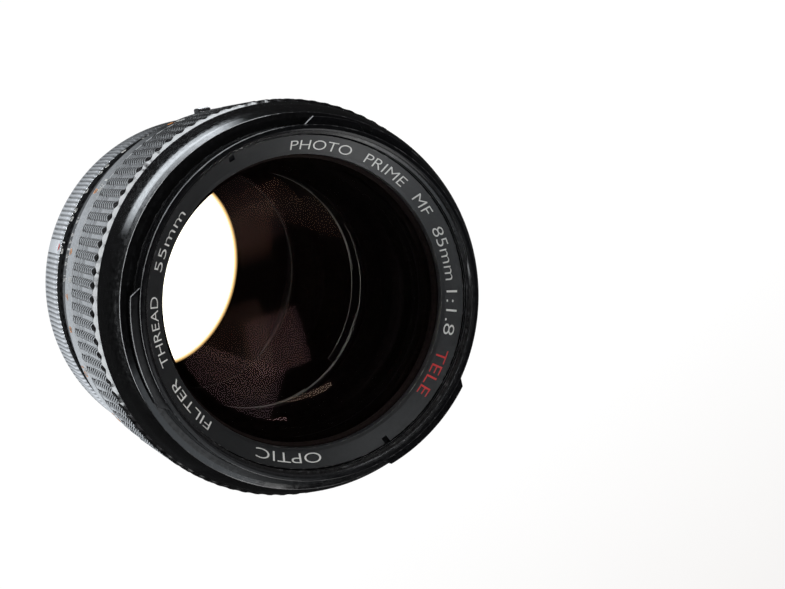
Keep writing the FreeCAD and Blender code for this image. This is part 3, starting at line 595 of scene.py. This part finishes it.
def cone_z(radius):
    """Height of the name ring's front face."""
    slope = (CONE_OUTER[1] - CONE_INNER[1]) / (CONE_OUTER[0] - CONE_INNER[0])
    return CONE_INNER[1] + (radius - CONE_INNER[0]) * slope


def name_ring():
    """Conical ring round the front glass, with its two spanner notches."""
    shoulder = [(24.0, 55.0), (27.15, 55.0)]
    lip = [(NOTCH_R - 0.05, cone_z(NOTCH_R - 0.05), 0.0), (LIP_R, cone_z(LIP_R), 0.06), (24.0, 56.5, 0.08)]
    plain = rounded(shoulder + [(27.15, 58.4, 0.05), (*CONE_OUTER, 0.08),
                                (NOTCH_R, cone_z(NOTCH_R), 0.0)] + lip)
    cut = rounded(shoulder + [(27.15, NOTCH_FLOOR_Z, 0.02), (27.1, NOTCH_FLOOR_Z, 0.02),
                              (NOTCH_R, NOTCH_FLOOR_Z, 0.02)] + lip)

    def section(angle):
        nearest = min(abs((angle - notch + 180) % 360 - 180) for notch in NOTCH_ANGLES)
        return cut if nearest < NOTCH_HALF_ANGLE else plain
    breaks = [notch + side * NOTCH_HALF_ANGLE for notch in NOTCH_ANGLES for side in (-1, 1)]
    mesh = ring_mesh("name_ring_cone", even_angles(SEGMENTS, breaks), section)
    stand_in("name_ring_cone", "name_ring", mesh, NAME_BLACK)


def toothed_bore(inner, outer, low, high, teeth):
    """Outline of a spacer whose bore is cut into sharp light-trap ridges."""
    corners = [(inner, low), (outer, low), (outer, high), (inner, high)]
    pitch = (high - low) / teeth
    for tooth in range(teeth):
        root_z = high - pitch * (tooth + 0.5)
        corners.append((inner + 0.45, root_z))
        corners.append((inner, root_z - 0.45 * pitch))
    return corners[:-1]


def inner_rings():
    """Retainers, cells and ridged spacers that show through the glass."""
    turned("front_retainer_ring", "front_retainer", [
        (23.5, 53.2), (24.38, 52.82), (24.38, 54.4), (23.9, 54.4, 0.05), (23.5, 54.0, 0.05)], INNER_BLACK)
    turned("front_light_trap", "front_spacer", toothed_bore(22.3, 24.3, 45.65, 51.3, 11), INNER_BLACK, 0.02)
    turned("front_cell_tube", "front_cell", [
        (24.6, 29.62), (26.5, 29.62), (26.5, 54.6), (24.45, 54.6, 0.2), (24.45, 45.6), (22.05, 45.6),
        (22.05, 33.75), (17.0, 30.95), (17.0, 30.3), (24.6, 30.3)], INNER_BLACK)
    turned("rear_light_trap", "rear_spacer", toothed_bore(15.4, 16.2, 12.0, 17.0, 9), INNER_BLACK, 0.02)
    turned("rear_retainer_ring", "rear_retainer", [
        (15.2, 9.25), (16.2, 9.25), (16.2, 10.25), (15.5, 10.25, 0.1), (15.2, 9.9, 0.05)], INNER_BLACK)
    turned("rear_group_clamp", "rear_group_ring", [
        (14.9, 26.15), (17.7, 26.15), (17.7, 26.6), (15.2, 26.6, 0.05)], INNER_BLACK)


# ---------------------------------------------------------------- glass
def on_surface(index, radius):
    """Height of a glass surface at a radius."""
    curve, vertex = SURFACES[index]
    sag = abs(curve) - math.sqrt(curve * curve - radius * radius)
    return vertex - math.copysign(sag, curve)


def element(name, nodes, rear, front, rear_reach, front_reach, edge, material):
    """Polished element between two glass surfaces; edge is the ground rim from rear to front."""
    rings = GLASS_RINGS
    outline = [(rear_reach * n / rings, on_surface(rear, rear_reach * n / rings)) for n in range(rings + 1)]
    outline += edge
    outline += [(front_reach * n / rings, on_surface(front, front_reach * n / rings))
                for n in range(rings, -1, -1)]
    points = [(radius, z, 0.0) for radius, z in outline]
    mesh = ring_mesh(name, even_angles(GLASS_SEGMENTS), lambda angle: points)
    for number, polygon in enumerate(mesh.polygons):
        polygon.material_index = int(rings <= number % len(points) <= rings + len(edge))
    piece = place(name, mesh, material, BODY_OF[nodes[0]], "coated_glass", nodes, sharp=20.0)
    piece.data.materials.append(INNER_BLACK)        # ground rims are blackened


def glass():
    """Six elements in four groups; the cemented pairs are one piece each."""
    element("front_element", ["lens_1"], 1, 0, 24.35, 24.35, [], FRONT_GLASS)
    element("front_doublet", ["lens_2", "lens_3"], 4, 2, 14.4, 21.95,
            [(15.4, 30.4), (21.95, 34.0)], MIDDLE_GLASS)
    element("rear_doublet", ["lens_4", "lens_5"], 7, 5, 16.15, 14.6, [(16.15, on_surface(5, 14.6))],
            MIDDLE_GLASS)
    element("rear_element", ["lens_6"], 9, 8, 16.15, 16.15, [], REAR_GLASS)


# ---------------------------------------------------------------- focusing ring
def from_rib(angle):
    """0 on the crest of the nearest rib and 1 in the valley beside it."""
    pitch = 360.0 / GRIP_RIBS
    offset = (angle - RIB_CREST_ANGLE + pitch / 2) % pitch - pitch / 2
    return min(1.0, abs(offset) / (pitch / 2))


def rib_angles():
    """Angles of the sections through every rib and its valley."""
    pitch = 360.0 / GRIP_RIBS
    return [RIB_CREST_ANGLE + pitch * (rib + step / 2) for rib in range(GRIP_RIBS) for step in RIB_STEPS]


def focus_ring():
    """Scale band, seat of the grip and the collar, on whose bevel each rib ends in a leaf-shaped facet."""
    def section(angle):
        leaf = 1 - min(1.0, from_rib(angle) / RIB_SHARE) ** 1.5
        return rounded([
            (30.75, 23.3), (SCALE_R - 0.3, 23.3, 0.05), (SCALE_R, 23.6, 0.08), (SCALE_R, 29.35, 0.08),
            (SCALE_R - 0.15, 29.5, 0.05), (GRIP_SEAT_R, 29.5), (GRIP_SEAT_R, GRIP_Z[1]),
            (COLLAR_R - 0.07 * leaf, GRIP_Z[1], 0.0),
            (COLLAR_R - LEAF_DROP * leaf, COLLAR_Z + LEAF_REACH * leaf, 0.05), (BEVEL_R, BEVEL_Z, 0.1),
            (31.6, BEVEL_Z), (31.6, 44.0), (30.75, 44.0)])
    mesh = ring_mesh("focus_ring_shell", rib_angles(), section)
    stand_in("focus_ring_shell", "focus_ring", mesh, LACQUER, sharp=20.0)


def rib_section(angle):
    """Outline of the grip at an angle: a rounded rib with fine cross grooves and a slanted front facet.

    The third number of a point is how deep it lies in a groove, from 0 to 1.
    """
    away = min(1.0, from_rib(angle) / RIB_SHARE)
    crest = GRIP_VALLEY_R + (GRIP_CREST_R - GRIP_VALLEY_R) * (1 - away ** 3)
    deep = 1 - away ** 4
    low, high = GRIP_Z[0] + 0.05, GRIP_Z[1] - 0.9 * (1 - away ** 1.5)
    band = SCALE_R - 0.05

    def ramp(z):
        return GRIP_VALLEY_R + (band - GRIP_VALLEY_R) * max(0.0, 1 - (z - low) / GRIP_RAMP)
    points = [(GRIP_SEAT_R, low, 0.0), (band, low, 0.0)]
    pitch = (high - 0.2 - low - 0.35) / RIB_GROOVES
    for number in range(RIB_GROOVES):
        for along, share in GROOVE_SHAPE:
            z = low + 0.35 + pitch * (number + along)
            radius = crest - deep * RIB_GROOVE_DEPTH * share
            points.append((max(radius, ramp(z)), z, min(1.0, 3 * share) * deep))
    points += [(crest, high, 0.0), (min(crest, COLLAR_R - 0.07), GRIP_Z[1], 0.0),
               (GRIP_SEAT_R, GRIP_Z[1], 0.0)]
    return points


def focus_grip():
    """Rubber grip with its ribs and their cross grooves."""
    mesh = ring_mesh("ribbed_grip", rib_angles(), rib_section)
    stand_in("ribbed_grip", "focus_grip", mesh, RUBBER, sharp=32.0)


# ---------------------------------------------------------------- rear rings
def tooth_share(angle, teeth):
    """0 on top of a tooth and 1 at the bottom of the gap beside it."""
    share = (angle * teeth / 360.0) % 1.0
    return 0.5 - 0.5 * math.cos(2 * math.pi * share)


def aperture_ring():
    """Ring with a fine fluted grip in front of its figures."""
    low, high = APERTURE_RING_Z

    def section(angle):
        grip = APERTURE_RING_R - 0.22 * tooth_share(angle, APERTURE_TEETH)
        return rounded([(30.5, low), (31.9, low, 0.05), (APERTURE_RING_R, low + 0.1, 0.02),
                        (APERTURE_RING_R, 11.5, 0.02), (grip, 11.7, 0.02), (grip, high - 0.15, 0.05),
                        (grip - 0.2, high, 0.05), (30.5, high)])
    mesh = ring_mesh("fluted_aperture_ring", even_angles(APERTURE_TEETH * 6), section)
    stand_in("fluted_aperture_ring", "aperture_ring", mesh, APERTURE_BLACK)


def breech_ring():
    """Bright ring with a fine fluted grip that runs to its front edge."""
    low, high = BREECH_Z

    def gap_at(angle):
        near_dot = abs((angle - INDEX_ANGLE + 180) % 360 - 180) < 2.5
        return 0.0 if near_dot else tooth_share(angle, BREECH_TEETH)

    def section(angle):
        grip = BREECH_R - BREECH_TOOTH_DEPTH * gap_at(angle)
        return rounded([(30.75, low), (31.8, low, 0.1), (BREECH_R, low + 0.6, 0.1),
                        (BREECH_R, low + 1.1, 0.05), (grip, low + 1.5, 0.05), (grip, high - 1.4, 0.3),
                        (BREECH_R - 0.45, high, 0.05), (30.5, high), (30.5, 2.5), (30.75, 2.5)], 0.06)
    angles = even_angles(BREECH_TEETH * 6)
    mesh = ring_mesh("fluted_breech_ring", angles, section)
    rows = len(mesh.vertices) // len(angles)
    # Painted shade: the gaps between the teeth are painted darker, except by the dot.
    stain_and_gap_shade = [TOOTH_GAP_SHADE * gap_at(angle) for angle in angles for row in range(rows)]
    mesh.attributes.new("stain_and_gap_shade", "FLOAT", "POINT").data.foreach_set("value", stain_and_gap_shade)
    stand_in("fluted_breech_ring", "breech_ring", mesh, SILVER)


def index_ring():
    """Fixed ring that carries the index line."""
    low, high = INDEX_RING_Z
    turned("index_ring_shell", "index_ring", [
        (30.4, low), (31.8, low, 0.05), (INDEX_RING_R, low + 0.2, 0.05), (INDEX_RING_R, high - 0.5, 0.1),
        (31.5, high, 0.05), (30.4, high)], RING_BLACK)


# ---------------------------------------------------------------- figures and marks
class Engraving:
    """Painted figures of one colour that ride on one body, gathered into one mesh."""

    def __init__(self, name, body, slot, material):
        self.name, self.body, self.slot, self.material = name, body, slot, material
        self.vertices = []
        self.faces = []

    def add(self, flat, bend):
        """Adds flat (vertices, faces), bent on to the surface by bend(x, y, height)."""
        start = len(self.vertices)
        self.vertices += [bend(*vertex) for vertex in flat[0]]
        self.faces += [tuple(start + corner for corner in face) for face in flat[1]]

    def finish(self):
        """Makes the piece once all its figures are in."""
        mesh = bpy.data.meshes.new(self.name)
        mesh.from_pydata(self.vertices, [], self.faces)
        place(self.name, mesh, self.material, self.body, self.slot, sharp=30.0)


def flat_text(words, cap_height, width=None, thin=0.012):
    """Vertices and faces of words laid flat, with the baseline's middle at the origin."""
    curve = bpy.data.curves.new("words", "FONT")
    curve.body = words
    curve.size = 1.0
    curve.extrude = 0.5
    curve.offset = -thin
    curve.resolution_u = 5
    holder = bpy.data.objects.new("words", curve)
    bpy.context.collection.objects.link(holder)
    bpy.context.view_layer.update()
    mesh = bpy.data.meshes.new_from_object(holder)
    xs = [vertex.co.x for vertex in mesh.vertices]
    ys = [vertex.co.y for vertex in mesh.vertices]
    tall = cap_height / max(ys)
    wide = width / (max(xs) - min(xs)) if width else tall
    middle = (max(xs) + min(xs)) / 2
    vertices = [((vertex.co.x - middle) * wide, vertex.co.y * tall, PAINT_RISE + vertex.co.z * PAINT_DEPTH)
                for vertex in mesh.vertices]
    faces = [tuple(polygon.vertices) for polygon in mesh.polygons]
    bpy.data.objects.remove(holder)
    bpy.data.curves.remove(curve)
    bpy.data.meshes.remove(mesh)
    return vertices, faces


def flat_bar(width, height):
    """Flat mark with its lower edge's middle at the origin."""
    vertices = [(x, y, rise) for rise in (PAINT_RISE - PAINT_DEPTH, PAINT_RISE)
                for y in (0.0, height) for x in (-width / 2, width / 2)]
    faces = [(0, 2, 3, 1), (4, 5, 7, 6), (0, 1, 5, 4), (2, 6, 7, 3), (0, 4, 6, 2), (1, 3, 7, 5)]
    return vertices, faces


def on_barrel(radius, angle, z):
    """Bends a flat figure round the barrel, upright with the front of the lens up."""
    def bend(x, y, height):
        return polar(radius + height, angle + math.degrees(x / radius), z + y)
    return bend


def on_name_ring(angle):
    """Bends a flat figure on to the name ring's cone, reading clockwise with its top outwards."""
    slope = math.atan2(CONE_OUTER[1] - CONE_INNER[1], CONE_OUTER[0] - CONE_INNER[0])

    def bend(x, y, height):
        radius = NAME_BASELINE_R + y * math.cos(slope)
        z = cone_z(radius) + height * math.cos(slope)
        return polar(radius - height * math.sin(slope), angle - math.degrees(x / NAME_MIDDLE_R), z)
    return bend


def name_ring_words(name, words, material):
    """Words of one colour, each stretched between its two angles."""
    engraving = Engraving(name, "optical_unit", SLOT_OF["name_ring"], material)
    for text, start, end in words:
        width = math.radians(start - end) * NAME_MIDDLE_R
        engraving.add(flat_text(text, NAME_CAP_HEIGHT, width), on_name_ring((start + end) / 2))
    engraving.finish()


def scale_angle(extension):
    """Where a distance mark stands on the focusing ring at rest, from its extension in millimetres."""
    return INDEX_ANGLE - (extension - FOCUS_EXTENSION) * FOCUS_TURN_PER_MM


def extension_at(distance):
    """Extension that focuses the lens at a distance in millimetres from the film."""
    total = distance / FOCAL_LENGTH - 2
    magnification = (total - math.sqrt(total * total - 4)) / 2
    return magnification * FOCAL_LENGTH


def distance_scale():
    """Distances in feet and in metres, with a tick for each metre figure and the infinity mark."""
    foot, metre = 304.8, 1000
    feet = Engraving("distance_scale_feet", "focus_ring", SLOT_OF["focus_ring"], ORANGE_PAINT)
    metres = Engraving("distance_scale_metres", "focus_ring", SLOT_OF["focus_ring"], WHITE_PAINT)
    for number in DISTANCES_FEET:
        angle = scale_angle(extension_at(float(number) * foot))
        feet.add(flat_text(number, DISTANCE_HEIGHT, thin=0.0), on_barrel(SCALE_R, angle, FEET_Z))
    for number in DISTANCES_METRES:
        angle = scale_angle(extension_at(float(number) * metre))
        metres.add(flat_text(number, DISTANCE_HEIGHT, thin=0.0), on_barrel(SCALE_R, angle, METRES_Z))
        tick_z = LOW_TICK_Z if number == "2" else TICK_Z
        metres.add(flat_bar(*TICK_SIZE), on_barrel(SCALE_R, angle, tick_z))
    vertices, faces = flat_text("8", INFINITY_HEIGHT, thin=0.0)
    lying = [(y - INFINITY_HEIGHT / 2, -x + INFINITY_SHIFT, height) for x, y, height in vertices]
    metres.add((lying, faces), on_barrel(SCALE_R, scale_angle(0.0), INFINITY_Z))
    feet.finish()
    metres.finish()


def depth_scale():
    """Index line with a pair of depth-of-field lines for each stop, all but one of them numbered."""
    marks = Engraving("depth_of_field_marks", "fixed_barrel", SLOT_OF["index_ring"], WHITE_PAINT)
    marks.add(flat_bar(*INDEX_LINE), on_barrel(INDEX_RING_R, INDEX_ANGLE, INDEX_LINE_Z))
    for stop in DEPTH_STOPS:
        for side in (-1, 1):
            angle = INDEX_ANGLE + side * stop * BLUR_CIRCLE * FOCUS_TURN_PER_MM
            marks.add(flat_bar(*DEPTH_LINE), on_barrel(INDEX_RING_R, angle, DEPTH_LINE_Z))
            if stop != 11:
                marks.add(flat_text(str(stop), DEPTH_HEIGHT, thin=0.0),
                          on_barrel(INDEX_RING_R, angle, DEPTH_Z))
    marks.finish()


def aperture_scale():
    """Stops in white and the automatic setting in green."""
    figures = Engraving("aperture_figures", "aperture_ring", SLOT_OF["aperture_ring"], WHITE_PAINT)
    auto = Engraving("aperture_auto_mark", "aperture_ring", SLOT_OF["aperture_ring"], GREEN_PAINT)
    for number, click in STOPS:
        figures.add(flat_text(number, STOP_HEIGHT, thin=0.0),
                    on_barrel(APERTURE_RING_R, INDEX_ANGLE - click, STOP_Z))
    auto.add(flat_text("A", STOP_HEIGHT, thin=0.0),
             on_barrel(APERTURE_RING_R, INDEX_ANGLE - AUTO_ANGLE, STOP_Z))
    figures.finish()
    auto.finish()


# ---------------------------------------------------------------- pieces that keep their CAD shape
def paint_cad_nodes():
    """Procedural finish for every CAD node, with the glass-facing ones matt black."""
    special = {"sliding_barrel": BRASS, "iris_cover": INNER_BLACK, "rear_cell": INNER_BLACK,
               "iris_housing": INNER_BLACK, "rear_guard": RING_BLACK, "fixed_barrel": RING_BLACK}
    for name, node in frame["nodes"].items():
        node.data.materials.clear()
        node.data.materials.append(special.get(name, SLOT_MATERIAL[SLOT_OF[name]]))


# ---------------------------------------------------------------- camera, floor and light
def view_to_lens():
    """Rotation from the camera's axes to the lens's."""
    axis = Vector((math.sin(VIEW_YAW) * math.cos(VIEW_PITCH), math.sin(VIEW_PITCH),
                   math.cos(VIEW_YAW) * math.cos(VIEW_PITCH)))
    side = Vector((0, 1, 0)).cross(axis).normalized()
    up = axis.cross(side)
    lens_to_view = Matrix((side, up, axis)).transposed() @ Matrix.Rotation(VIEW_ROLL, 3, "Z")
    return lens_to_view.transposed()


def make_camera():
    """Camera placed by where the middle of the front rim stands in its view."""
    front_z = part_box("front_barrel")[1].z
    camera = bpy.data.objects.new("camera", bpy.data.cameras.new("camera"))
    camera.data.lens = CAMERA_LENS
    camera.data.sensor_width = 36.0
    camera.data.clip_start = 0.01
    bpy.context.collection.objects.link(camera)
    rotation = view_to_lens()
    spot = Vector((0, 0, front_z)) - rotation @ RIM_IN_VIEW
    camera.matrix_world = Matrix.Translation(spot) @ rotation.to_4x4()
    bpy.context.scene.camera = camera


def panel(name, spot, target, width, height, radiance, colour=(1.0, 1.0, 1.0), gloss=True, diffuse=True):
    """Soft light of a given brightness that faces a target and isn't seen by the camera."""
    lamp = bpy.data.lights.new(name, "AREA")
    lamp.shape = "RECTANGLE"
    lamp.size, lamp.size_y = width * MM, height * MM
    lamp.energy = radiance * math.pi * lamp.size * lamp.size_y
    lamp.color = colour
    holder = bpy.data.objects.new(name, lamp)
    spot, target = Vector(spot) * MM, Vector(target) * MM
    holder.rotation_euler = (target - spot).to_track_quat("-Z", "Y").to_euler()
    holder.location = spot
    holder.visible_camera = False
    holder.visible_glossy = gloss
    holder.visible_diffuse = diffuse
    bpy.context.collection.objects.link(holder)


def make_floor():
    """Large pale light table that the lens stands on."""
    half = FLOOR_HALF_SIZE
    z = cad_box[0].z - FLOOR_GAP
    corners = [(-half, -half, z), (half, -half, z), (half, half, z), (-half, half, z)]
    mesh = bpy.data.meshes.new("floor")
    mesh.from_pydata(corners, [], [(0, 1, 2, 3)])
    floor = bpy.data.objects.new("floor", mesh)
    bpy.context.collection.objects.link(floor)
    floor.data.materials.append(floor_material())


def floor_material():
    """Pale table: bright to look at and less so in reflections, with painted shade round the lens, a painted
    glow under the glass as if lit from below, and a painted pool and strip of light seen only in
    reflections.
    """
    recipe = Recipe("pale_floor")
    split = recipe.node("ShaderNodeSeparateXYZ")
    recipe.link(recipe.space, split.inputs[0])
    x, y = split.outputs[0], split.outputs[1]

    def distance(centre):
        gap_x, gap_y = recipe.math("SUBTRACT", x, centre[0]), recipe.math("SUBTRACT", y, centre[1])
        return recipe.math("SQRT", recipe.math("ADD", recipe.math("MULTIPLY", gap_x, gap_x),
                                               recipe.math("MULTIPLY", gap_y, gap_y)))
    radius = distance((0.0, 0.0))
    azimuth = recipe.math("DEGREES", recipe.math("ARCTAN2", y, x))
    # Painted light: a bright disc of the table under the glass, seen through the lens.
    from_painted_glow = distance(PAINTED_GLOW_SPOT)
    outside = recipe.spread(radius, 0.0, 1.0, *SHADE_R)
    under = recipe.spread(from_painted_glow, PAINTED_GLOW_STRENGTH, 0.0, PAINTED_GLOW_R - 0.3, PAINTED_GLOW_R + 0.3)
    # Painted reflection: a pool of light round the lens, dimmer right by it and fading in round the axis,
    # that the table shows only in reflections.
    near = recipe.math("MULTIPLY", recipe.spread(radius, 0.5, 1.0, *POOL_RISE_R),
                       recipe.spread(radius, 1.0, 0.01, *POOL_FALL_R))
    lean = recipe.spread(azimuth, 0.05, 1.0, *POOL_AZIMUTH)
    pool = recipe.math("MULTIPLY", recipe.math("MULTIPLY", near, lean), POOL_GLOW)
    # Painted highlight: a bright strip of the table, seen only in reflections, for the sleeve's highlight.
    inner, outer = STRIP_R
    across = recipe.math("MULTIPLY", recipe.spread(radius, 0.0, 1.0, inner - STRIP_SOFT, inner + STRIP_SOFT),
                         recipe.spread(radius, 1.0, 0.0, outer - STRIP_SOFT, outer + STRIP_SOFT))
    first, last = STRIP_AZIMUTH
    along = recipe.math("MULTIPLY", recipe.spread(azimuth, 0.0, 1.0, first, first + STRIP_FADE),
                        recipe.spread(azimuth, 1.0, 0.0, last - STRIP_FADE, last))
    strip = recipe.math("MULTIPLY", recipe.math("MULTIPLY", across, along), STRIP_GLOW)
    mirrored = recipe.math("ADD", pool, strip)
    seen = recipe.node("ShaderNodeLightPath").outputs["Is Glossy Ray"]
    direct = recipe.math("SUBTRACT", 1.0, seen)
    around = recipe.math("ADD", direct, recipe.math("MULTIPLY", seen, mirrored))
    recipe.link(recipe.math("ADD", under, recipe.math("MULTIPLY", outside, around)),
                recipe.shader.inputs["Emission Strength"])
    # Painted soft shade: the table's glow turns greyer towards one corner.
    away = recipe.spread(recipe.math("ADD", x, y), 1.0, 0.0, *DIM_CORNER)
    glow = recipe.blend(away, (1.0, 1.0, 1.0), (0.8, 0.77, 0.75))
    # Painted reflection colour: the lit table turns bluish in reflections.
    glow = recipe.blend(recipe.math("MULTIPLY", seen, outside), glow, (0.88, 0.94, 1.0))
    # Painted colour fringe: orange at the edge of the painted glow under the glass.
    painted_orange_fringe = recipe.spread(from_painted_glow, 0.0, 1.0, PAINTED_GLOW_R - 0.5, PAINTED_GLOW_R + 0.1)
    recipe.link(recipe.blend(recipe.math("MULTIPLY", painted_orange_fringe, recipe.math("SUBTRACT", 1.0, outside)),
                             glow, (1.0, 0.62, 0.25)), recipe.shader.inputs["Emission Color"])
    recipe.set(Base_Color=(0.02, 0.02, 0.02), Roughness=0.9, Specular_IOR_Level=0.0)
    recipe.material.cycles.emission_sampling = "NONE"
    return recipe.material


def make_world():
    """Dim studio: faintly bright round the horizon and dark behind the camera."""
    world = bpy.data.worlds.new("studio")
    bpy.context.scene.world = world
    world.use_nodes = True
    nodes, links = world.node_tree.nodes, world.node_tree.links
    coordinates = nodes.new("ShaderNodeTexCoord")
    split = nodes.new("ShaderNodeSeparateXYZ")
    ramp = nodes.new("ShaderNodeValToRGB")
    links.new(coordinates.outputs["Generated"], split.inputs[0])
    links.new(split.outputs[2], ramp.inputs[0])
    links.new(ramp.outputs[0], nodes["Background"].inputs[0])
    ramp.color_ramp.elements[0].position = 0.0
    ramp.color_ramp.elements[0].color = (0.5, 0.5, 0.52, 1)
    ramp.color_ramp.elements[1].position = 0.6
    ramp.color_ramp.elements[1].color = (0.02, 0.02, 0.022, 1)
    nodes["Background"].inputs[1].default_value = 1.0


def round_the_lens(azimuth, z):
    """Place at the panels' usual distance from the lens's axis, in millimetres."""
    turn = math.radians(azimuth)
    return PANEL_RANGE * math.cos(turn), PANEL_RANGE * math.sin(turn), z


def make_lights():
    """Panels that only glance off gloss, soft ones that light the figures, and one that does both."""
    for azimuth in (30, 75, 120):
        panel("side_panel_" + str(azimuth), round_the_lens(azimuth, 55), PANEL_TARGET, 230, 130, 14.0,
              (0.93, 0.97, 1.0), diffuse=False)
    panel("dim_panel", round_the_lens(195, 90), PANEL_TARGET, 300, 120, 1.8, diffuse=False)
    panel("rim_panel", round_the_lens(197, 225), PANEL_TARGET, 110, 110, 6.0, diffuse=False)
    panel("slate_panel", (-420, 20, 480), HIGH_PANEL_TARGET, 400, 400, 1.5, (0.85, 0.93, 1.0), diffuse=False)
    panel("overhead_panel", (-190, -120, 650), HIGH_PANEL_TARGET, 240, 260, 1.4, (0.92, 0.96, 1.0))
    for azimuth in (20, 215):
        panel("front_panel_" + str(azimuth), round_the_lens(azimuth, 225), PANEL_TARGET, 200, 200, 6.5,
              gloss=False)


front_ring()
hood_lugs()
filter_thread()
front_sleeve()
name_ring()
inner_rings()
glass()
focus_ring()
focus_grip()
aperture_ring()
breech_ring()
index_ring()
name_ring_words("name_ring_figures", NAME_WORDS, WHITE_PAINT)
name_ring_words("name_ring_red_figures", NAME_RED_WORDS, RED_PAINT)
distance_scale()
depth_scale()
aperture_scale()
paint_cad_nodes()
make_camera()
make_floor()
make_world()
make_lights()

scene = bpy.context.scene
scene.view_settings.view_transform = "Standard"
scene.cycles.max_bounces = 32
scene.cycles.transmission_bounces = 32
